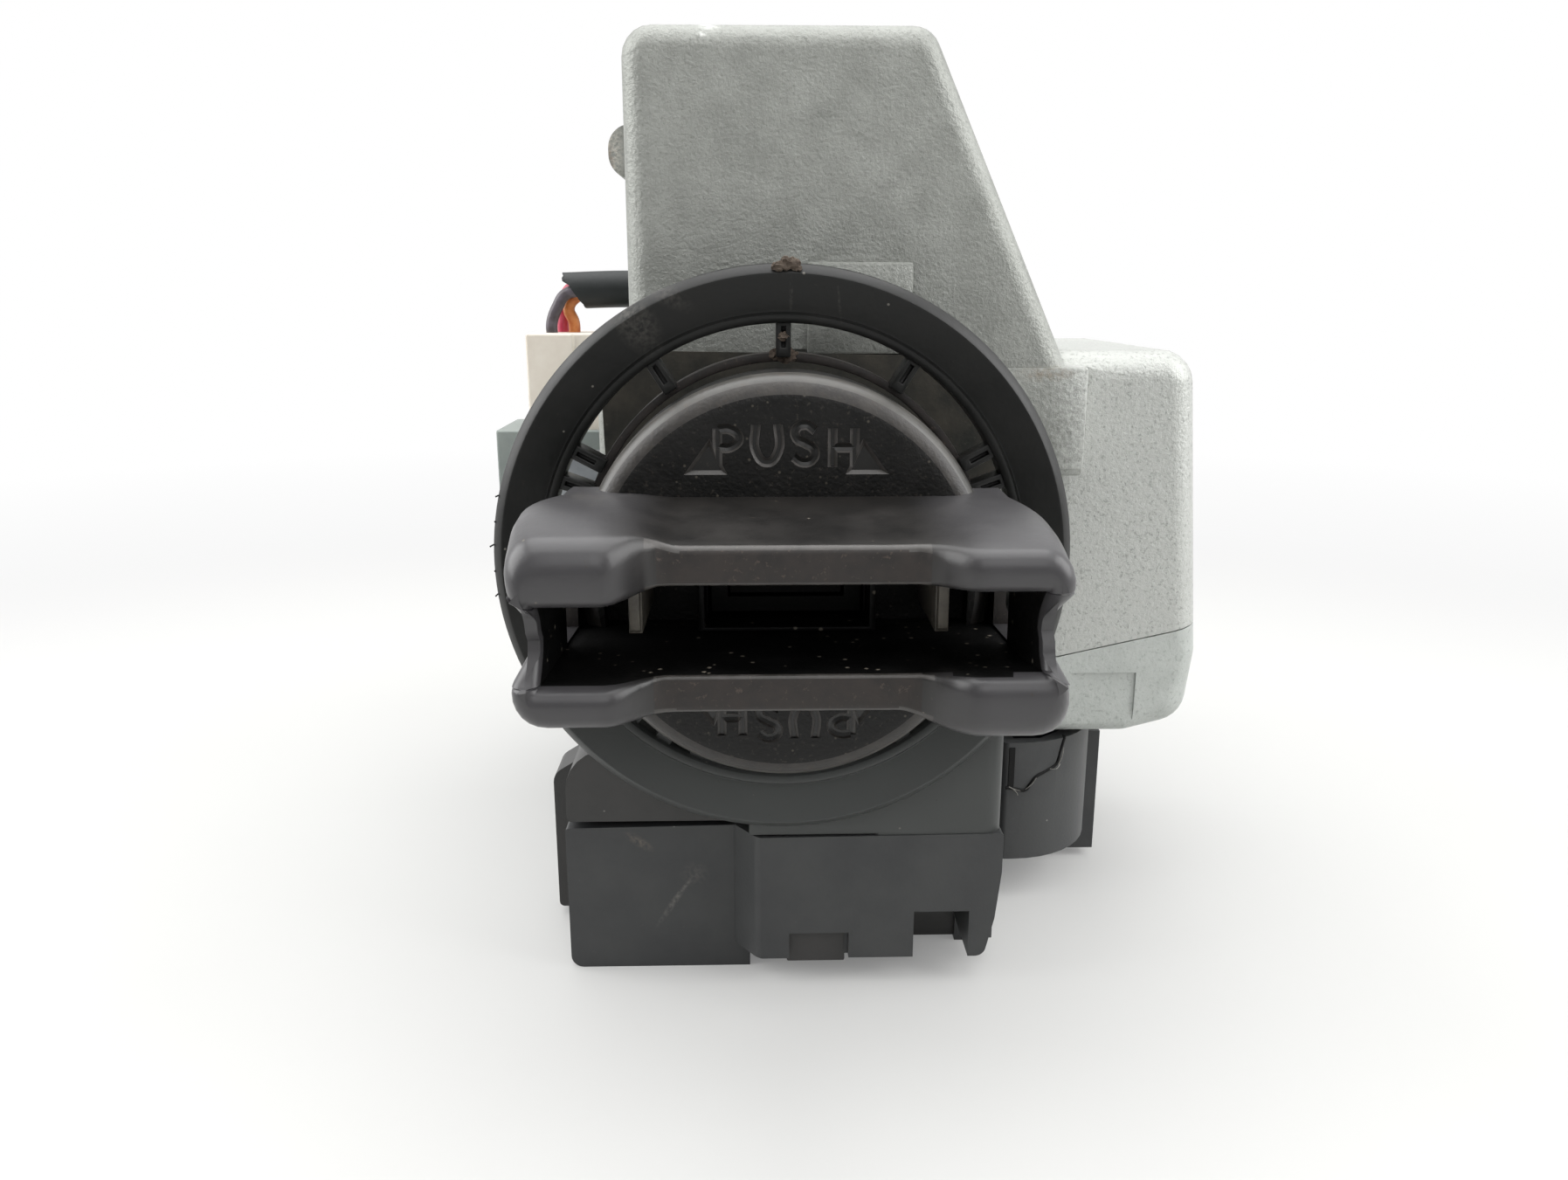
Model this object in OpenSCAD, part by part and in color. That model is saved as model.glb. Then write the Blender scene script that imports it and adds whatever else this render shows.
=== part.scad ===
// Ignition switch with a push-and-turn knob, a die-cast steering lock body and a keyless control module.
// Millimetres. The knob faces -Y and +Z is up. The origin is on the base, under the knob axis,
// in the plane of the front face of the casting.

/* [Knob] */
// Height of the knob axis above the base
axis_z = 41; // [40:0.5:44]
// Radius of the round knob face
disc_r = 16.6; // [15.5:0.1:17.5]
// Thickness of the round knob face
disc_t = 6; // [5:0.5:7]
// How far the round face stands in front of the trim ring
disc_proud = 8; // [6.5:0.5:9]
// How far the grip stands in front of the round face
grip_out = 16; // [13:0.5:20]
// Length of the grip across the knob
grip_len = 38; // [36:0.5:42]
// Height of the grip at its ends
grip_end_h = 13.6; // [12.6:0.2:14.4]
// Height of the grip across its two small lobes
grip_small_h = 12; // [11.8:0.1:12.4]
// Height of the grip at its middle
grip_mid_h = 11.8; // [11:0.1:11.8]
// Height of the hollow inside the grip
grip_hollow_h = 6.5; // [6:0.1:7]
// Wall at the ends of the hollow grip
grip_end_wall = 1.1; // [0.9:0.1:1.6]
// How much each end of the grip draws in towards the round face
grip_flare = 2.6; // [1:0.1:3]
// How far the middle of the grip's front edge lies behind its ends
grip_dip = 3.4; // [1:0.1:4.5]
// How far the knob can be pushed in
knob_travel = 3; // [2:0.25:3.5]
// Outer radius of the sleeve behind the knob
sleeve_r = 11.5; // [11.2:0.1:11.8]
// How far the sleeve reaches into the casting
sleeve_in = 4; // [3:0.5:6]

/* [Rotor] */
// Radius of the rotor barrel
rotor_r = 9; // [8.5:0.1:9.2]
// Radius of the drive shaft at the back
shaft_r = 4; // [3.6:0.1:4.4]
// Width of the key nose
nose_w = 12; // [11.5:0.5:13]
// Height of the key nose
nose_h = 5; // [4.6:0.1:5.4]
// Width of the key slot
key_w = 9.4; // [8.5:0.1:9.8]
// Height of the key slot
key_h = 2.6; // [2.4:0.1:2.8]
// Free length of the knob spring
spring_len = 11; // [9:0.5:14]
// Thickness of the interlock flange
flange_t = 2.4; // [2:0.2:3.2]
// Turn of the knob from lock to start, in degrees
turn_deg = 105; // [95:1:115]

/* [Lock bolt] */
// Travel of the lock bolt
bolt_travel = 6; // [5:0.25:6.5]
// How far the locked bolt stands out of the mounting pad
bolt_out = 8; // [7:0.5:10]
// Height of the bolt blade
bolt_h = 8; // [7:0.5:8.5]
// Thickness of the bolt blade
bolt_t = 6.5; // [6:0.25:7]
// Thickness of the lock cam
cam_t = 5; // [4:0.5:6]
// Length of the front journal in the casting
journal_len = 6.4; // [5.5:0.2:9]

/* [Interlock] */
// Travel of the interlock plunger
plunger_travel = 2.5; // [2:0.1:2.6]
// Radius of the interlock plunger
plunger_r = 2.5; // [2.2:0.1:2.7]
// Radius of the interlock coil
coil_r = 6.8; // [6.4:0.1:7]

/* [Trim ring] */
// How far the ring stands in front of the casting
ring_proud = 12; // [11:0.5:14]
// Depth of the ring
ring_t = 4; // [3.6:0.2:5]
// Width of the solid outer band
band_w = 4.8; // [4:0.1:5.5]
// Width of the open windows
window_w = 2.5; // [2.2:0.1:3.2]

/* [Casting] */
// Height of the tower above the knob axis
tower_h = 45.3; // [43:0.1:47]
// Distance of the tower's left side from the axis
tower_left = 14; // [13:0.1:16]
// Distance of the tower's top right corner from the axis
tower_right = 13.4; // [11:0.1:14.5]
// Depth of the tower
tower_d = 28; // [26:0.5:31]
// Distance of the mounting pad from the axis
pad_left = 19.4; // [18.6:0.2:21]
// Spacing of the two tapped mounting holes
mount_pitch = 22; // [21:0.5:24]
// Radius of the tapped mounting holes
mount_hole_r = 2.5; // [2:0.1:2.6]
// Distance of the side block's right face from the axis
block_right = 41.8; // [40:0.2:43]
// Height of the side block above the axis
block_top = 17.1; // [16:0.1:19]
// Slope of the joint between side block and cover, in degrees
split_deg = 12.4; // [10:0.1:13]

/* [Control module] */
// Distance of the module's left side from the axis
module_left = 20.3; // [20:0.1:22]
// Distance of the module's right side from the axis
module_right = 20.1; // [19.5:0.1:20.6]
// Height of the seam between the two halves
seam_z = 15.3; // [14.5:0.1:16]
// Widest gap of the seam, at its left end
seam_gap = 0.7; // [0.3:0.05:0.9]
// Depth of the module behind the ring
module_d = 42; // [38:1:42]
// Wall of the plastic mouldings
wall = 2; // [1.8:0.1:2.2]
// Width of the cracked side pod
pod_w = 11.4; // [10.6:0.2:12]
// Height of the cracked side pod
pod_h = 13.2; // [12.6:0.1:13.4]

/* [Electrical switch] */
// Radius of the switch housing
switch_r = 16; // [15:0.2:17]
// Depth of the switch housing
switch_d = 15; // [14:0.5:18]
// Depth of the main socket at the back
hood_d = 15; // [13:0.5:20]
// Width of the lead plug
plug_w = 9.8; // [9:0.1:10.5]
// Height of the lead plug above the knob axis
plug_up = 17.5; // [17:0.1:19]
// Diameter of the lead sheath
sheath_d = 4.6; // [4:0.1:4.8]
// Diameter of one wire
wire_d = 1.5; // [1.2:0.1:1.6]

/* [Hidden] */
$fn = 72;
az = axis_z;
run = 0.05;
gap = 0.3;

hub_in_r = disc_r + 0.3;
hub_out_r = hub_in_r + 0.7;
ring_in_r = hub_out_r + window_w;
ring_r = ring_in_r + band_w;
ring_y0 = -ring_proud;
ring_y1 = ring_y0 + ring_t;

disc_y0 = ring_y0 - disc_proud;
disc_y1 = disc_y0 + disc_t;
grip_y0 = disc_y0 - grip_out;
hollow_y = disc_y0 + 2;
hollow_w = grip_len / 2 - 0.7 - grip_end_wall;
bore_y = hollow_y + 2;
sleeve_y1 = sleeve_in;
bore_r = rotor_r + 0.15;
key_rib = rotor_r + 1.2;

rotor_y0 = bore_y + knob_travel + 1;
flange_y0 = sleeve_y1 + spring_len;
flange_y1 = flange_y0 + flange_t;
flange_y = (flange_y0 + flange_y1) / 2;
flange_r = sleeve_r + 0.3;
well_r = flange_r + 0.4;
seat_y = flange_y1 + 0.2;
room_y0 = seat_y + journal_len;
cam_y0 = room_y0 + gap;
cam_y1 = cam_y0 + cam_t;
plate_y0 = cam_y1 + gap;
plate_y1 = plate_y0 + 3;
plate_y = (plate_y0 + plate_y1) / 2;
room_y1 = plate_y1 + gap;
body_y1 = room_y1 + 4.1;

turn_rad = turn_deg * PI / 180;
cam_base = bolt_travel / turn_rad;
cam_low = shaft_r + 1.6;
cam_hub_r = shaft_r + 1.3;
cam_max_r = norm([cam_base, cam_low + bolt_travel]);
room_r = cam_max_r + 0.45;
plate_half = 2 * shaft_r;
plate_left = shaft_r + bolt_travel + 4;
plate_right = 14;
lug_x = cam_low + 0.15;
lug_t = 4;

ramp_base = plunger_travel / turn_rad;
ramp_high = sqrt(flange_r * flange_r - ramp_base * ramp_base);
ramp_low = ramp_high - plunger_travel;
tip_x = ramp_low + 0.15;

den_x0 = max(16.6, lug_x + lug_t + bolt_travel + 0.6);
coil_x0 = den_x0 + 2.6;
coil_x1 = block_right - 5.3;
armature_x1 = coil_x1 - plunger_travel - 4.5;
den_y0 = flange_y - coil_r - 0.6;
den_y1 = flange_y + coil_r + 0.6;
den_top = az + coil_r + 1.8;
pocket_x0 = plate_right + bolt_travel + 0.3;
pocket_x1 = pocket_x0 + 10.7;
block_y0 = 4;
cover_x0 = module_right + 1.5;
cover_z0 = az - 22.4;
far_x = block_right + 10;
split_x = 28.5;
split_z = az - 13.5;
feed = [pocket_x1, body_y1, az + 9.2];
cover_screws_xy = [[cover_x0 + 4.4, plate_y], [block_right - 4.2, plate_y]];

module_top = az - 18.5;
module_y0 = ring_y1;
module_y1 = module_y0 + module_d;
foot_screws_xy = [[-9.5, 8], [9.5, 8], [-15.4, module_y1 - 5.2]];
board_z = 8;
step_x = -3.2;
inner_right = 8.6;
notch_x0 = module_right - 7.9;
notch_x1 = notch_x0 + 5.2;
notch_top = 7.3;
pod_x0 = module_right + 3.1;
pod_x1 = pod_x0 + pod_w;
pod_y0 = 4;
pod_y1 = module_y1 - 2;
pod_z0 = 4.8;
pod_z1 = pod_z0 + pod_h;

switch_y0 = body_y1;
switch_y1 = switch_y0 + switch_d;
switch_screws = [[-15, az + 14.5], [22, az + 12.5]];
hood_y1 = switch_y1 + 3 + hood_d;
socket_x = -26;
socket_y = switch_y0 + 8;
socket_top = az + 5.7;
plug_top = az + plug_up;
sheath_x = socket_x - 0.6;
sheath_y = socket_y;
sheath_z = plug_top + 5.1;

function unit(v) = v / norm(v);
function turn2(p, a) = [p[0] * cos(a) - p[1] * sin(a), p[0] * sin(a) + p[1] * cos(a)];
function arc(c, r, a0, a1, n) =
    [for (i = [0:n]) c + r * [cos(a0 + (a1 - a0) * i / n), sin(a0 + (a1 - a0) * i / n)]];

// Round one corner of an outline with an arc, moved inwards by d.
function corner(p0, p1, p2, r, n, d) =
    let (a = unit(p0 - p1), b = unit(p2 - p1), half = acos(a * b) / 2, c = p1 + unit(a + b) * r / sin(half))
    let (s = p1 + a * r / tan(half) - c, e = p1 + b * r / tan(half) - c, a0 = atan2(s[1], s[0]))
    arc(c, r - d, a0, a0 + (atan2(e[1], e[0]) - a0 + 540) % 360 - 180, n);
function rounded(pts, r, n = 6, d = 0) =
    [for (i = [0:len(pts) - 1])
        each corner(pts[(i + len(pts) - 1) % len(pts)], pts[i], pts[(i + 1) % len(pts)], r[i], n, d)];

// Flat-follower cam edge: its reach grows evenly with the turn.
function involute(base, t) = base * [cos(t) + t * PI / 180 * sin(t), sin(t) - t * PI / 180 * cos(t)];
function cam_edge(base, low, n) =
    let (t0 = low / base * 180 / PI)
    [for (i = [0:n]) turn2(involute(base, t0 + turn_deg * i / n), 90 - t0)];

// Smooth route through hand-placed points.
function between(a, b, c, d, t) =
    0.5 * (2 * b + (c - a) * t + (2 * a - 5 * b + 4 * c - d) * t * t + (3 * b - a - 3 * c + d) * t * t * t);
function route(p, n) =
    let (m = len(p) - 1)
    [for (i = [0:m - 1], k = [0:n - 1])
        between(p[max(i - 1, 0)], p[i], p[i + 1], p[min(i + 2, m)], k / n), p[m]];
function coil_line(r, length, turns, n) =
    [for (i = [0:turns * n]) [r * cos(360 * i / n), r * sin(360 * i / n), length * i / (turns * n)]];

module slab(y0, y1) {
    translate([0, y1, 0]) rotate([90, 0, 0]) linear_extrude(y1 - y0) children();
}

module rod_y(r, y0, y1, x = 0, z = az) {
    translate([x, y1, z]) rotate([90, 0, 0]) cylinder(r = r, h = y1 - y0);
}

module rod_x(r, x0, x1, y, z) {
    translate([x0, y, z]) rotate([0, 90, 0]) cylinder(r = r, h = x1 - x0);
}

module rod_z(r, z0, z1, x, y) {
    translate([x, y, z0]) cylinder(r = r, h = z1 - z0);
}

module block(x, y, z) {
    translate([x[0], y[0], z[0]]) cube([x[1] - x[0], y[1] - y[0], z[1] - z[0]]);
}

module turned(points) {
    translate([0, 0, az]) rotate([90, 0, 0]) rotate_extrude() polygon([for (p = points) [p[0], -p[1]]]);
}

module rounded_rect(x0, x1, z0, z1, r) {
    translate([x0 + r, z0]) square([x1 - x0 - 2 * r, z1 - z0]);
    translate([x0, z0 + r]) square([x1 - x0, z1 - z0 - 2 * r]);
    for (x = [x0 + r, x1 - r], z = [z0 + r, z1 - r]) translate([x, z]) circle(r);
}

// Closed skin through a stack of rings with the same number of points.
module skin(rings) {
    m = len(rings) - 1;
    k = len(rings[0]);
    polyhedron(
        points = [for (ring = rings) each ring],
        faces = concat(
            [[for (i = [0:k - 1]) k - 1 - i]],
            [[for (i = [0:k - 1]) m * k + i]],
            [for (j = [0:m - 1], i = [0:k - 1])
                [j * k + i, j * k + (i + 1) % k, (j + 1) * k + (i + 1) % k, (j + 1) * k + i]]
        )
    );
}

// Cast form with all edges rounded, from an outline that runs anticlockwise.
module cast_form(outline, y0, y1, r) {
    radii = [for (p = outline) r + 0.5];
    front = [for (a = [90, 67.5, 45, 22.5, 0]) [y0 + r * (1 - sin(a)), r * (1 - cos(a))]];
    back = [for (a = [0, 22.5, 45, 67.5, 90]) [y1 - r * (1 - sin(a)), r * (1 - cos(a))]];
    skin([for (s = concat(front, back)) [for (p = rounded(outline, radii, 5, s[1])) [p[0], s[0], p[1]]]]);
}

module sweep(line, r, sides, ref) {
    m = len(line) - 1;
    skin([for (i = [0:m])
        let (t = unit(line[min(i + 1, m)] - line[max(i - 1, 0)]), u = unit(cross(t, ref)), v = cross(t, u))
        [for (k = [0:sides - 1]) line[i] + r * (cos(360 * k / sides) * u - sin(360 * k / sides) * v)]]);
}

module shaft_profile(grow) {
    intersection() {
        circle(shaft_r + grow);
        translate([-10, 1 - shaft_r - grow]) square(20);
    }
}

// Casting

module side_form() {
    cast_form([[9, cover_z0], [block_right - 5.6, cover_z0], [block_right + 0.6, cover_z0 + 1.6],
        [block_right + 1.4, split_z], [block_right - 1.3, az + block_top], [9, az + block_top]],
        block_y0, body_y1, 2.8);
}

function split_at(x) = split_z + (x - split_x) * tan(split_deg);

// Space below the side block, from the axis to the right or from the cover's edge to the right.
module under_block() {
    slab(-1, body_y1 + 1)
        polygon([[0, 0], [far_x, 0], [far_x, split_at(far_x)], [cover_x0 - 0.4, split_at(cover_x0 - 0.4)],
            [cover_x0 - 0.4, az - 15], [0, az - 15]]);
}

module under_split() {
    slab(-1, body_y1 + 1)
        polygon([[cover_x0, 0], [far_x, 0], [far_x, split_at(far_x) - 0.12],
            [cover_x0, split_at(cover_x0) - 0.12]]);
}

module lock_body() {
    color("#9a9d9a")
    difference() {
        union() {
            cast_form([[-tower_left, az + 6], [31.4, az + 6], [tower_right, az + tower_h],
                [-tower_left, az + tower_h]], 0, tower_d, 2.2);
            rod_y(16, 0, body_y1);
            cast_form([[0, az + 5.5], [29.9, az + 5.5], [30.8, az + block_top - 1.5],
                [0, az + block_top - 1.5]], 0.4, 15, 0.8);
            difference() {
                side_form();
                under_block();
            }
            cast_form([[-pad_left, module_top], [0, module_top], [0, az + 18.5], [-pad_left, az + 18.5]],
                plate_y0 - 12, body_y1, 1.2);
            block([-12.5, 12.5], [1.5, 14.5], [module_top, az - 8]);
            slab(20, 27) rounded_rect(1.9 - pad_left, 0, az + 34, az + 39.4, 2.4);
            slab(-0.25, 2) rounded_rect(0.1, tower_right - 0.1, az + 17.5, az + 25.5, 0.6);
        }
        rod_y(well_r, -1, seat_y);
        rod_y(rotor_r + run, seat_y - 1, room_y0 + 1);
        rod_y(room_r, room_y0, body_y1 + 1);
        block([-pad_left - 2, 0], [plate_y1 - bolt_t - gap, room_y1],
            [az - bolt_h / 2 - gap, az + bolt_h / 2 + gap]);
        block([-plate_left - 0.4, pocket_x0], [plate_y0 - gap, room_y1],
            [az - plate_half - gap, az + plate_half + gap]);
        block([0, den_x0 - 0.4], [room_y0, plate_y], [az - 0.5, az + plate_half + gap]);
        rod_x(4.4, plate_right - 0.5, pocket_x1, plate_y, az);
        block([den_x0, coil_x1 + 1.7], [den_y0, den_y1], [cover_z0, den_top]);
        rod_x(plunger_r + 0.2, 5, den_x0 + 1, flange_y, az);
        rod_y(2.65, den_y1 - 1, body_y1 + 1, feed[0], feed[2]);
        for (s = [-1, 1])
            rod_x(mount_hole_r, -pad_left - 1, -pad_left + 10, plate_y0 - 8.5, az + s * mount_pitch / 2);
        for (p = switch_screws) rod_y(1.5, body_y1 - 9, body_y1 + 1, p[0], p[1]);
        for (p = cover_screws_xy) rod_z(1.5, cover_z0, az - 6.5, p[0], p[1]);
        for (p = foot_screws_xy) rod_z(1.5, module_top - 1, module_top + 7.5, p[0], p[1]);
    }
}

module body_cover() {
    color("#a9adab")
    difference() {
        intersection() {
            side_form();
            under_split();
        }
        block([cover_x0 + 2, coil_x1 + 1.7], [den_y0, den_y1], [cover_z0 + 2.5, az]);
        block([split_x + 1.4, block_right - 5.2], [block_y0 - 1, block_y0 + 0.3],
            [cover_z0 + 0.9, cover_z0 + 7]);
        for (p = cover_screws_xy) rod_z(1.75, cover_z0 - 1, az, p[0], p[1]);
        for (p = cover_screws_xy) rod_z(3, cover_z0 - 1, cover_z0 + 2.2, p[0], p[1]);
    }
}

module cover_screws() {
    color("#8d8f90")
    for (p = cover_screws_xy)
        difference() {
            union() {
                rod_z(2.7, cover_z0 + 0.2, cover_z0 + 2.2, p[0], p[1]);
                rod_z(1.45, cover_z0 + 2.2, az - 7.2, p[0], p[1]);
            }
            block([p[0] - 1.9, p[0] + 1.9], [p[1] - 0.4, p[1] + 0.4], [cover_z0 - 1, cover_z0 + 1]);
            block([p[0] - 0.4, p[0] + 0.4], [p[1] - 1.9, p[1] + 1.9], [cover_z0 - 1, cover_z0 + 1]);
        }
}

module bearing_plate() {
    color("#a3a5a3")
    difference() {
        rod_y(room_r - run, room_y1, body_y1);
        rod_y(shaft_r + run, room_y1 - 1, body_y1 + 1);
        for (s = [-1, 1]) rod_y(1, body_y1 - 1.5, body_y1 + 1, s * (room_r - 3), az);
    }
}

// Trim ring

module trim_ring() {
    lip = ring_in_r;
    color("#1f2021")
    difference() {
        union() {
            turned([[ring_r, ring_y0 + 0.9], [ring_r - 0.8, ring_y0], [lip + 0.9, ring_y0 + 1.6],
                [lip + 0.7, ring_y0 + 1.1], [lip, ring_y0 + 1.3], [lip, ring_y1], [ring_r, ring_y1]]);
            turned([[hub_in_r, ring_y0 + 2.6], [hub_out_r, ring_y0 + 2.6], [hub_out_r, ring_y1 + 2],
                [hub_in_r, ring_y1 + 2]]);
            for (a = [20, 28, 57, 90, 123, 152, 160])
                translate([0, 0, az]) rotate([0, -a, 0])
                    block([hub_out_r - 0.3, lip + 0.3], [ring_y0 + 1.6, ring_y1], [-0.55, 0.55]);
            intersection() {
                turned([[hub_out_r - 0.3, ring_y0 + 2], [lip + 0.3, ring_y0 + 2], [lip + 0.3, ring_y1],
                    [hub_out_r - 0.3, ring_y1]]);
                block([-40, 40], [ring_y0, ring_y1], [az - 40, az - 4]);
            }
            difference() {
                slab(ring_y0 + 0.9, ring_y1)
                    rounded_rect(step_x, module_right + 0.1, seam_z - 0.1, az - 8, 0.6);
                rod_y(ring_r - 0.6, ring_y0 - 1, ring_y1 + 1);
            }
        }
        turned([[ring_r - 3, ring_y1 - 1.7], [ring_r - 1, ring_y1 - 1.7], [ring_r - 1, ring_y1 + 1],
            [ring_r - 3, ring_y1 + 1]]);
    }
}

module antenna_coil() {
    color("#a8623a")
    turned([[ring_r - 2.9, ring_y1 - 1.6], [ring_r - 1.1, ring_y1 - 1.6], [ring_r - 1.1, ring_y1],
        [ring_r - 2.9, ring_y1]]);
}

// Control module

module module_upper_case() {
    left = -module_left;
    right = module_right;
    color("#2a2c2d")
    difference() {
        union() {
            slab(module_y0, module_y1)
                polygon(rounded([[left, seam_z], [right, seam_z], [right, module_top], [left, module_top]],
                    [0.4, 0.4, 1.5, 4]));
            slab(2, 7)
                polygon(rounded([[left - 2.9, 1], [left - 0.5, 1], [left - 0.5, seam_z], [left + 1, seam_z],
                    [left + 1, seam_z + 3], [left - 2.9, seam_z + 0.6]], [0.5, 0.5, 0.2, 0.2, 0.5, 1.6], 4));
        }
        block([left + wall, right - wall], [module_y0 + wall, module_y1 - wall],
            [seam_z - 1, module_top - wall]);
        for (p = foot_screws_xy) rod_z(1.75, seam_z, module_top + 1, p[0], p[1]);
    }
}

module module_lower_cover() {
    left = -module_left - 0.2;
    right = module_right + 0.2;
    color("#303233")
    difference() {
        union() {
            slab(module_y0, module_y1)
                polygon(rounded([[left, 0], [right, 0], [right, seam_z - 0.1], [left, seam_z - seam_gap]],
                    [1.2, 1.2, 0.3, 0.3]));
            intersection() {
                slab(ring_y0 + 0.8, module_y0 + 3)
                    polygon(rounded([[step_x - 1.4, 2.6], [right - 1.4, 2.6], [right - 0.5, 6.5],
                        [right, seam_z - 4], [right, seam_z - 0.1], [step_x - 1.4, seam_z - 0.32]],
                        [0.3, 1, 1.5, 2, 0.3, 0.3]));
                linear_extrude(seam_z + 1)
                    polygon(rounded([[step_x - 1.5, module_y0 + 4], [step_x - 1.5, module_y0],
                        [step_x + 0.9, ring_y0 + 0.7], [right + 1, ring_y0 + 0.7],
                        [right + 1, module_y0 + 4]], [0.1, 1, 1.6, 0.1, 0.1]));
            }
        }
        block([left + wall, inner_right], [module_y0 + wall, module_y1 - wall], [wall, seam_z + 1]);
        block([inner_right - 1, right - wall], [module_y0 + wall, module_y1 - wall],
            [notch_top + 2, seam_z + 1]);
        block([notch_x0, notch_x1], [ring_y0 - 1, module_y0 + 16], [-1, notch_top]);
        block([step_x + 3.7, step_x + 9.3], [ring_y0 - 1, ring_y0 + 1.6], [1, 5.2]);
        block([step_x, right + 1], [ring_y0 - 1, module_y0 + 4], [-1, 2.6]);
    }
    color("#303233")
    for (x = [left + 4.5, inner_right - 2.5], y = [module_y0 + 5, module_y1 - 5])
        rod_z(1.6, wall - 0.2, board_z, x, y);
}

module module_screws() {
    color("#8d8f90")
    for (p = foot_screws_xy)
        difference() {
            union() {
                rod_z(2.8, module_top - wall - 2, module_top - wall, p[0], p[1]);
                rod_z(1.45, module_top - wall, module_top + 6.8, p[0], p[1]);
            }
            block([p[0] - 2, p[0] + 2], [p[1] - 0.4, p[1] + 0.4], [0, module_top - wall - 1.1]);
        }
}

module circuit_board() {
    color("#2f6b3f")
    difference() {
        block([0.9 + wall - module_left, inner_right - 0.5], [module_y0 + wall + 0.8, module_y1 - wall - 0.8],
            [board_z, board_z + 1.6]);
        for (x = [4.3 - module_left, inner_right - 2.5], y = [module_y0 + 5, module_y1 - 5])
            rod_z(0.8, board_z - 1, board_z + 3, x, y);
    }
}

module board_parts() {
    z = board_z + 1.6;
    color("#1b1d1f") {
        block([-12, -2], [4, 14], [z, z + 5.2]);
        block([-13, -6], [18, 25], [z, z + 1.2]);
        block([0, 5], [18, 22], [z, z + 2]);
        rod_z(2.4, z, z + 5, 2, 8);
        rod_z(2.4, z, z + 5, 2, 13.5);
    }
}

module connector_pod() {
    crack = [[pod_x0 + 0.6, 13], [pod_x0 + 2.6, 12.7], [pod_x0 + 3.6, 14], [pod_x0 + 6, 15.2],
        [pod_x0 + 7, pod_z1 + 0.5]];
    color("#3b3d3e")
    difference() {
        union() {
            translate([0, 0, pod_z0]) linear_extrude(pod_h)
                polygon(rounded([[pod_x0, pod_y0], [pod_x1, pod_y0], [pod_x1, pod_y1], [pod_x0, pod_y1]],
                    [0.8, 9.8, 0.5, 0.5], 10));
            block([pod_x0, pod_x1 + 1.8], [14, 16], [1, pod_z1 - 2.6]);
            block([module_right, pod_x0 + 1], [14, pod_y1 - 2], [seam_z + 0.3, pod_z1]);
        }
        block([pod_x0 + 1.8, pod_x1 - 3], [12, pod_y1 + 1], [pod_z0 + 3, pod_z1 - 2]);
        translate([0, 0, pod_z1 - 4]) linear_extrude(5)
            polygon([[pod_x0 + 1.4, pod_y0 + 1.4], [pod_x1 - 7.2, pod_y0 + 1.4], [pod_x1 - 3.2, pod_y0 + 4.8],
                [pod_x1 - 2.2, pod_y0 + 6.6], [pod_x0 + 1.4, pod_y0 + 6.6]]);
        for (i = [0:3])
            translate([crack[i][0], pod_y0, crack[i][1]])
                rotate([0, -atan2(crack[i + 1][1] - crack[i][1], crack[i + 1][0] - crack[i][0]), 0])
                    block([-0.06, norm(crack[i + 1] - crack[i]) + 0.06], [-1, 2.4], [-0.11, 0.11]);
    }
}

module pod_pins() {
    x = (pod_x0 + pod_x1) / 2;
    color("#c0a060")
    for (z = [9.3, 11.8, 14.3]) block([x - 0.5, x + 0.5], [12, 22], [z - 0.5, z + 0.5]);
}

// Electrical switch

module switch_base() {
    color("#26282a")
    difference() {
        union() {
            slab(switch_y0, switch_y0 + 3) rounded_rect(-19, 26.5, az - 14, az + 18, 4);
            rod_y(switch_r, switch_y0, switch_y1);
            block([socket_x - 8.8, -12], [switch_y0 + 1, switch_y0 + 15], [az - 6.5, socket_top]);
        }
        rod_y(switch_r - wall, switch_y0 + 2, switch_y1 + 1);
        rod_y(shaft_r + 0.6, switch_y0 - 1, switch_y0 + 3);
        block([socket_x - plug_w / 2 - 0.35, socket_x + plug_w / 2 + 0.35],
            [socket_y - 5.55, socket_y + 5.55], [az - 4, socket_top + 1]);
        for (p = switch_screws) rod_y(1.75, switch_y0 - 1, switch_y0 + 4, p[0], p[1]);
    }
}

module blade_slots(grow) {
    for (x = [-6.2, 0, 6.2], z = [-3.4, 3.4])
        translate([x - 2.2 - grow, az + z - 0.4 - grow]) square([4.4 + 2 * grow, 0.8 + 2 * grow]);
}

module switch_cap() {
    color("#2d2f31")
    difference() {
        union() {
            rod_y(switch_r, switch_y1, switch_y1 + 3);
            rod_y(switch_r - wall - 0.15, switch_y1 - 2, switch_y1);
            slab(switch_y1 + 2, hood_y1) rounded_rect(-11.4, 11.4, az - 8.4, az + 8.4, 1.5);
        }
        slab(switch_y1 + 3, hood_y1 + 1) rounded_rect(-9.6, 9.6, az - 6.6, az + 6.6, 0.8);
        slab(switch_y1 - 3, switch_y1 + 4) blade_slots(0.1);
    }
}

module switch_screw_pair() {
    color("#8d8f90")
    for (p = switch_screws)
        difference() {
            union() {
                rod_y(2.9, switch_y0 + 3, switch_y0 + 5, p[0], p[1]);
                rod_y(1.45, switch_y0 - 8, switch_y0 + 3, p[0], p[1]);
            }
            block([p[0] - 2, p[0] + 2], [switch_y0 + 4.1, switch_y0 + 6], [p[1] - 0.4, p[1] + 0.4]);
            block([p[0] - 0.4, p[0] + 0.4], [switch_y0 + 4.1, switch_y0 + 6], [p[1] - 2, p[1] + 2]);
        }
}

module switch_blades() {
    color("#b89a55") slab(switch_y0 + 10.2, switch_y1 + 9) blade_slots(0);
}

// Lead between the plug and the interlock

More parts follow.
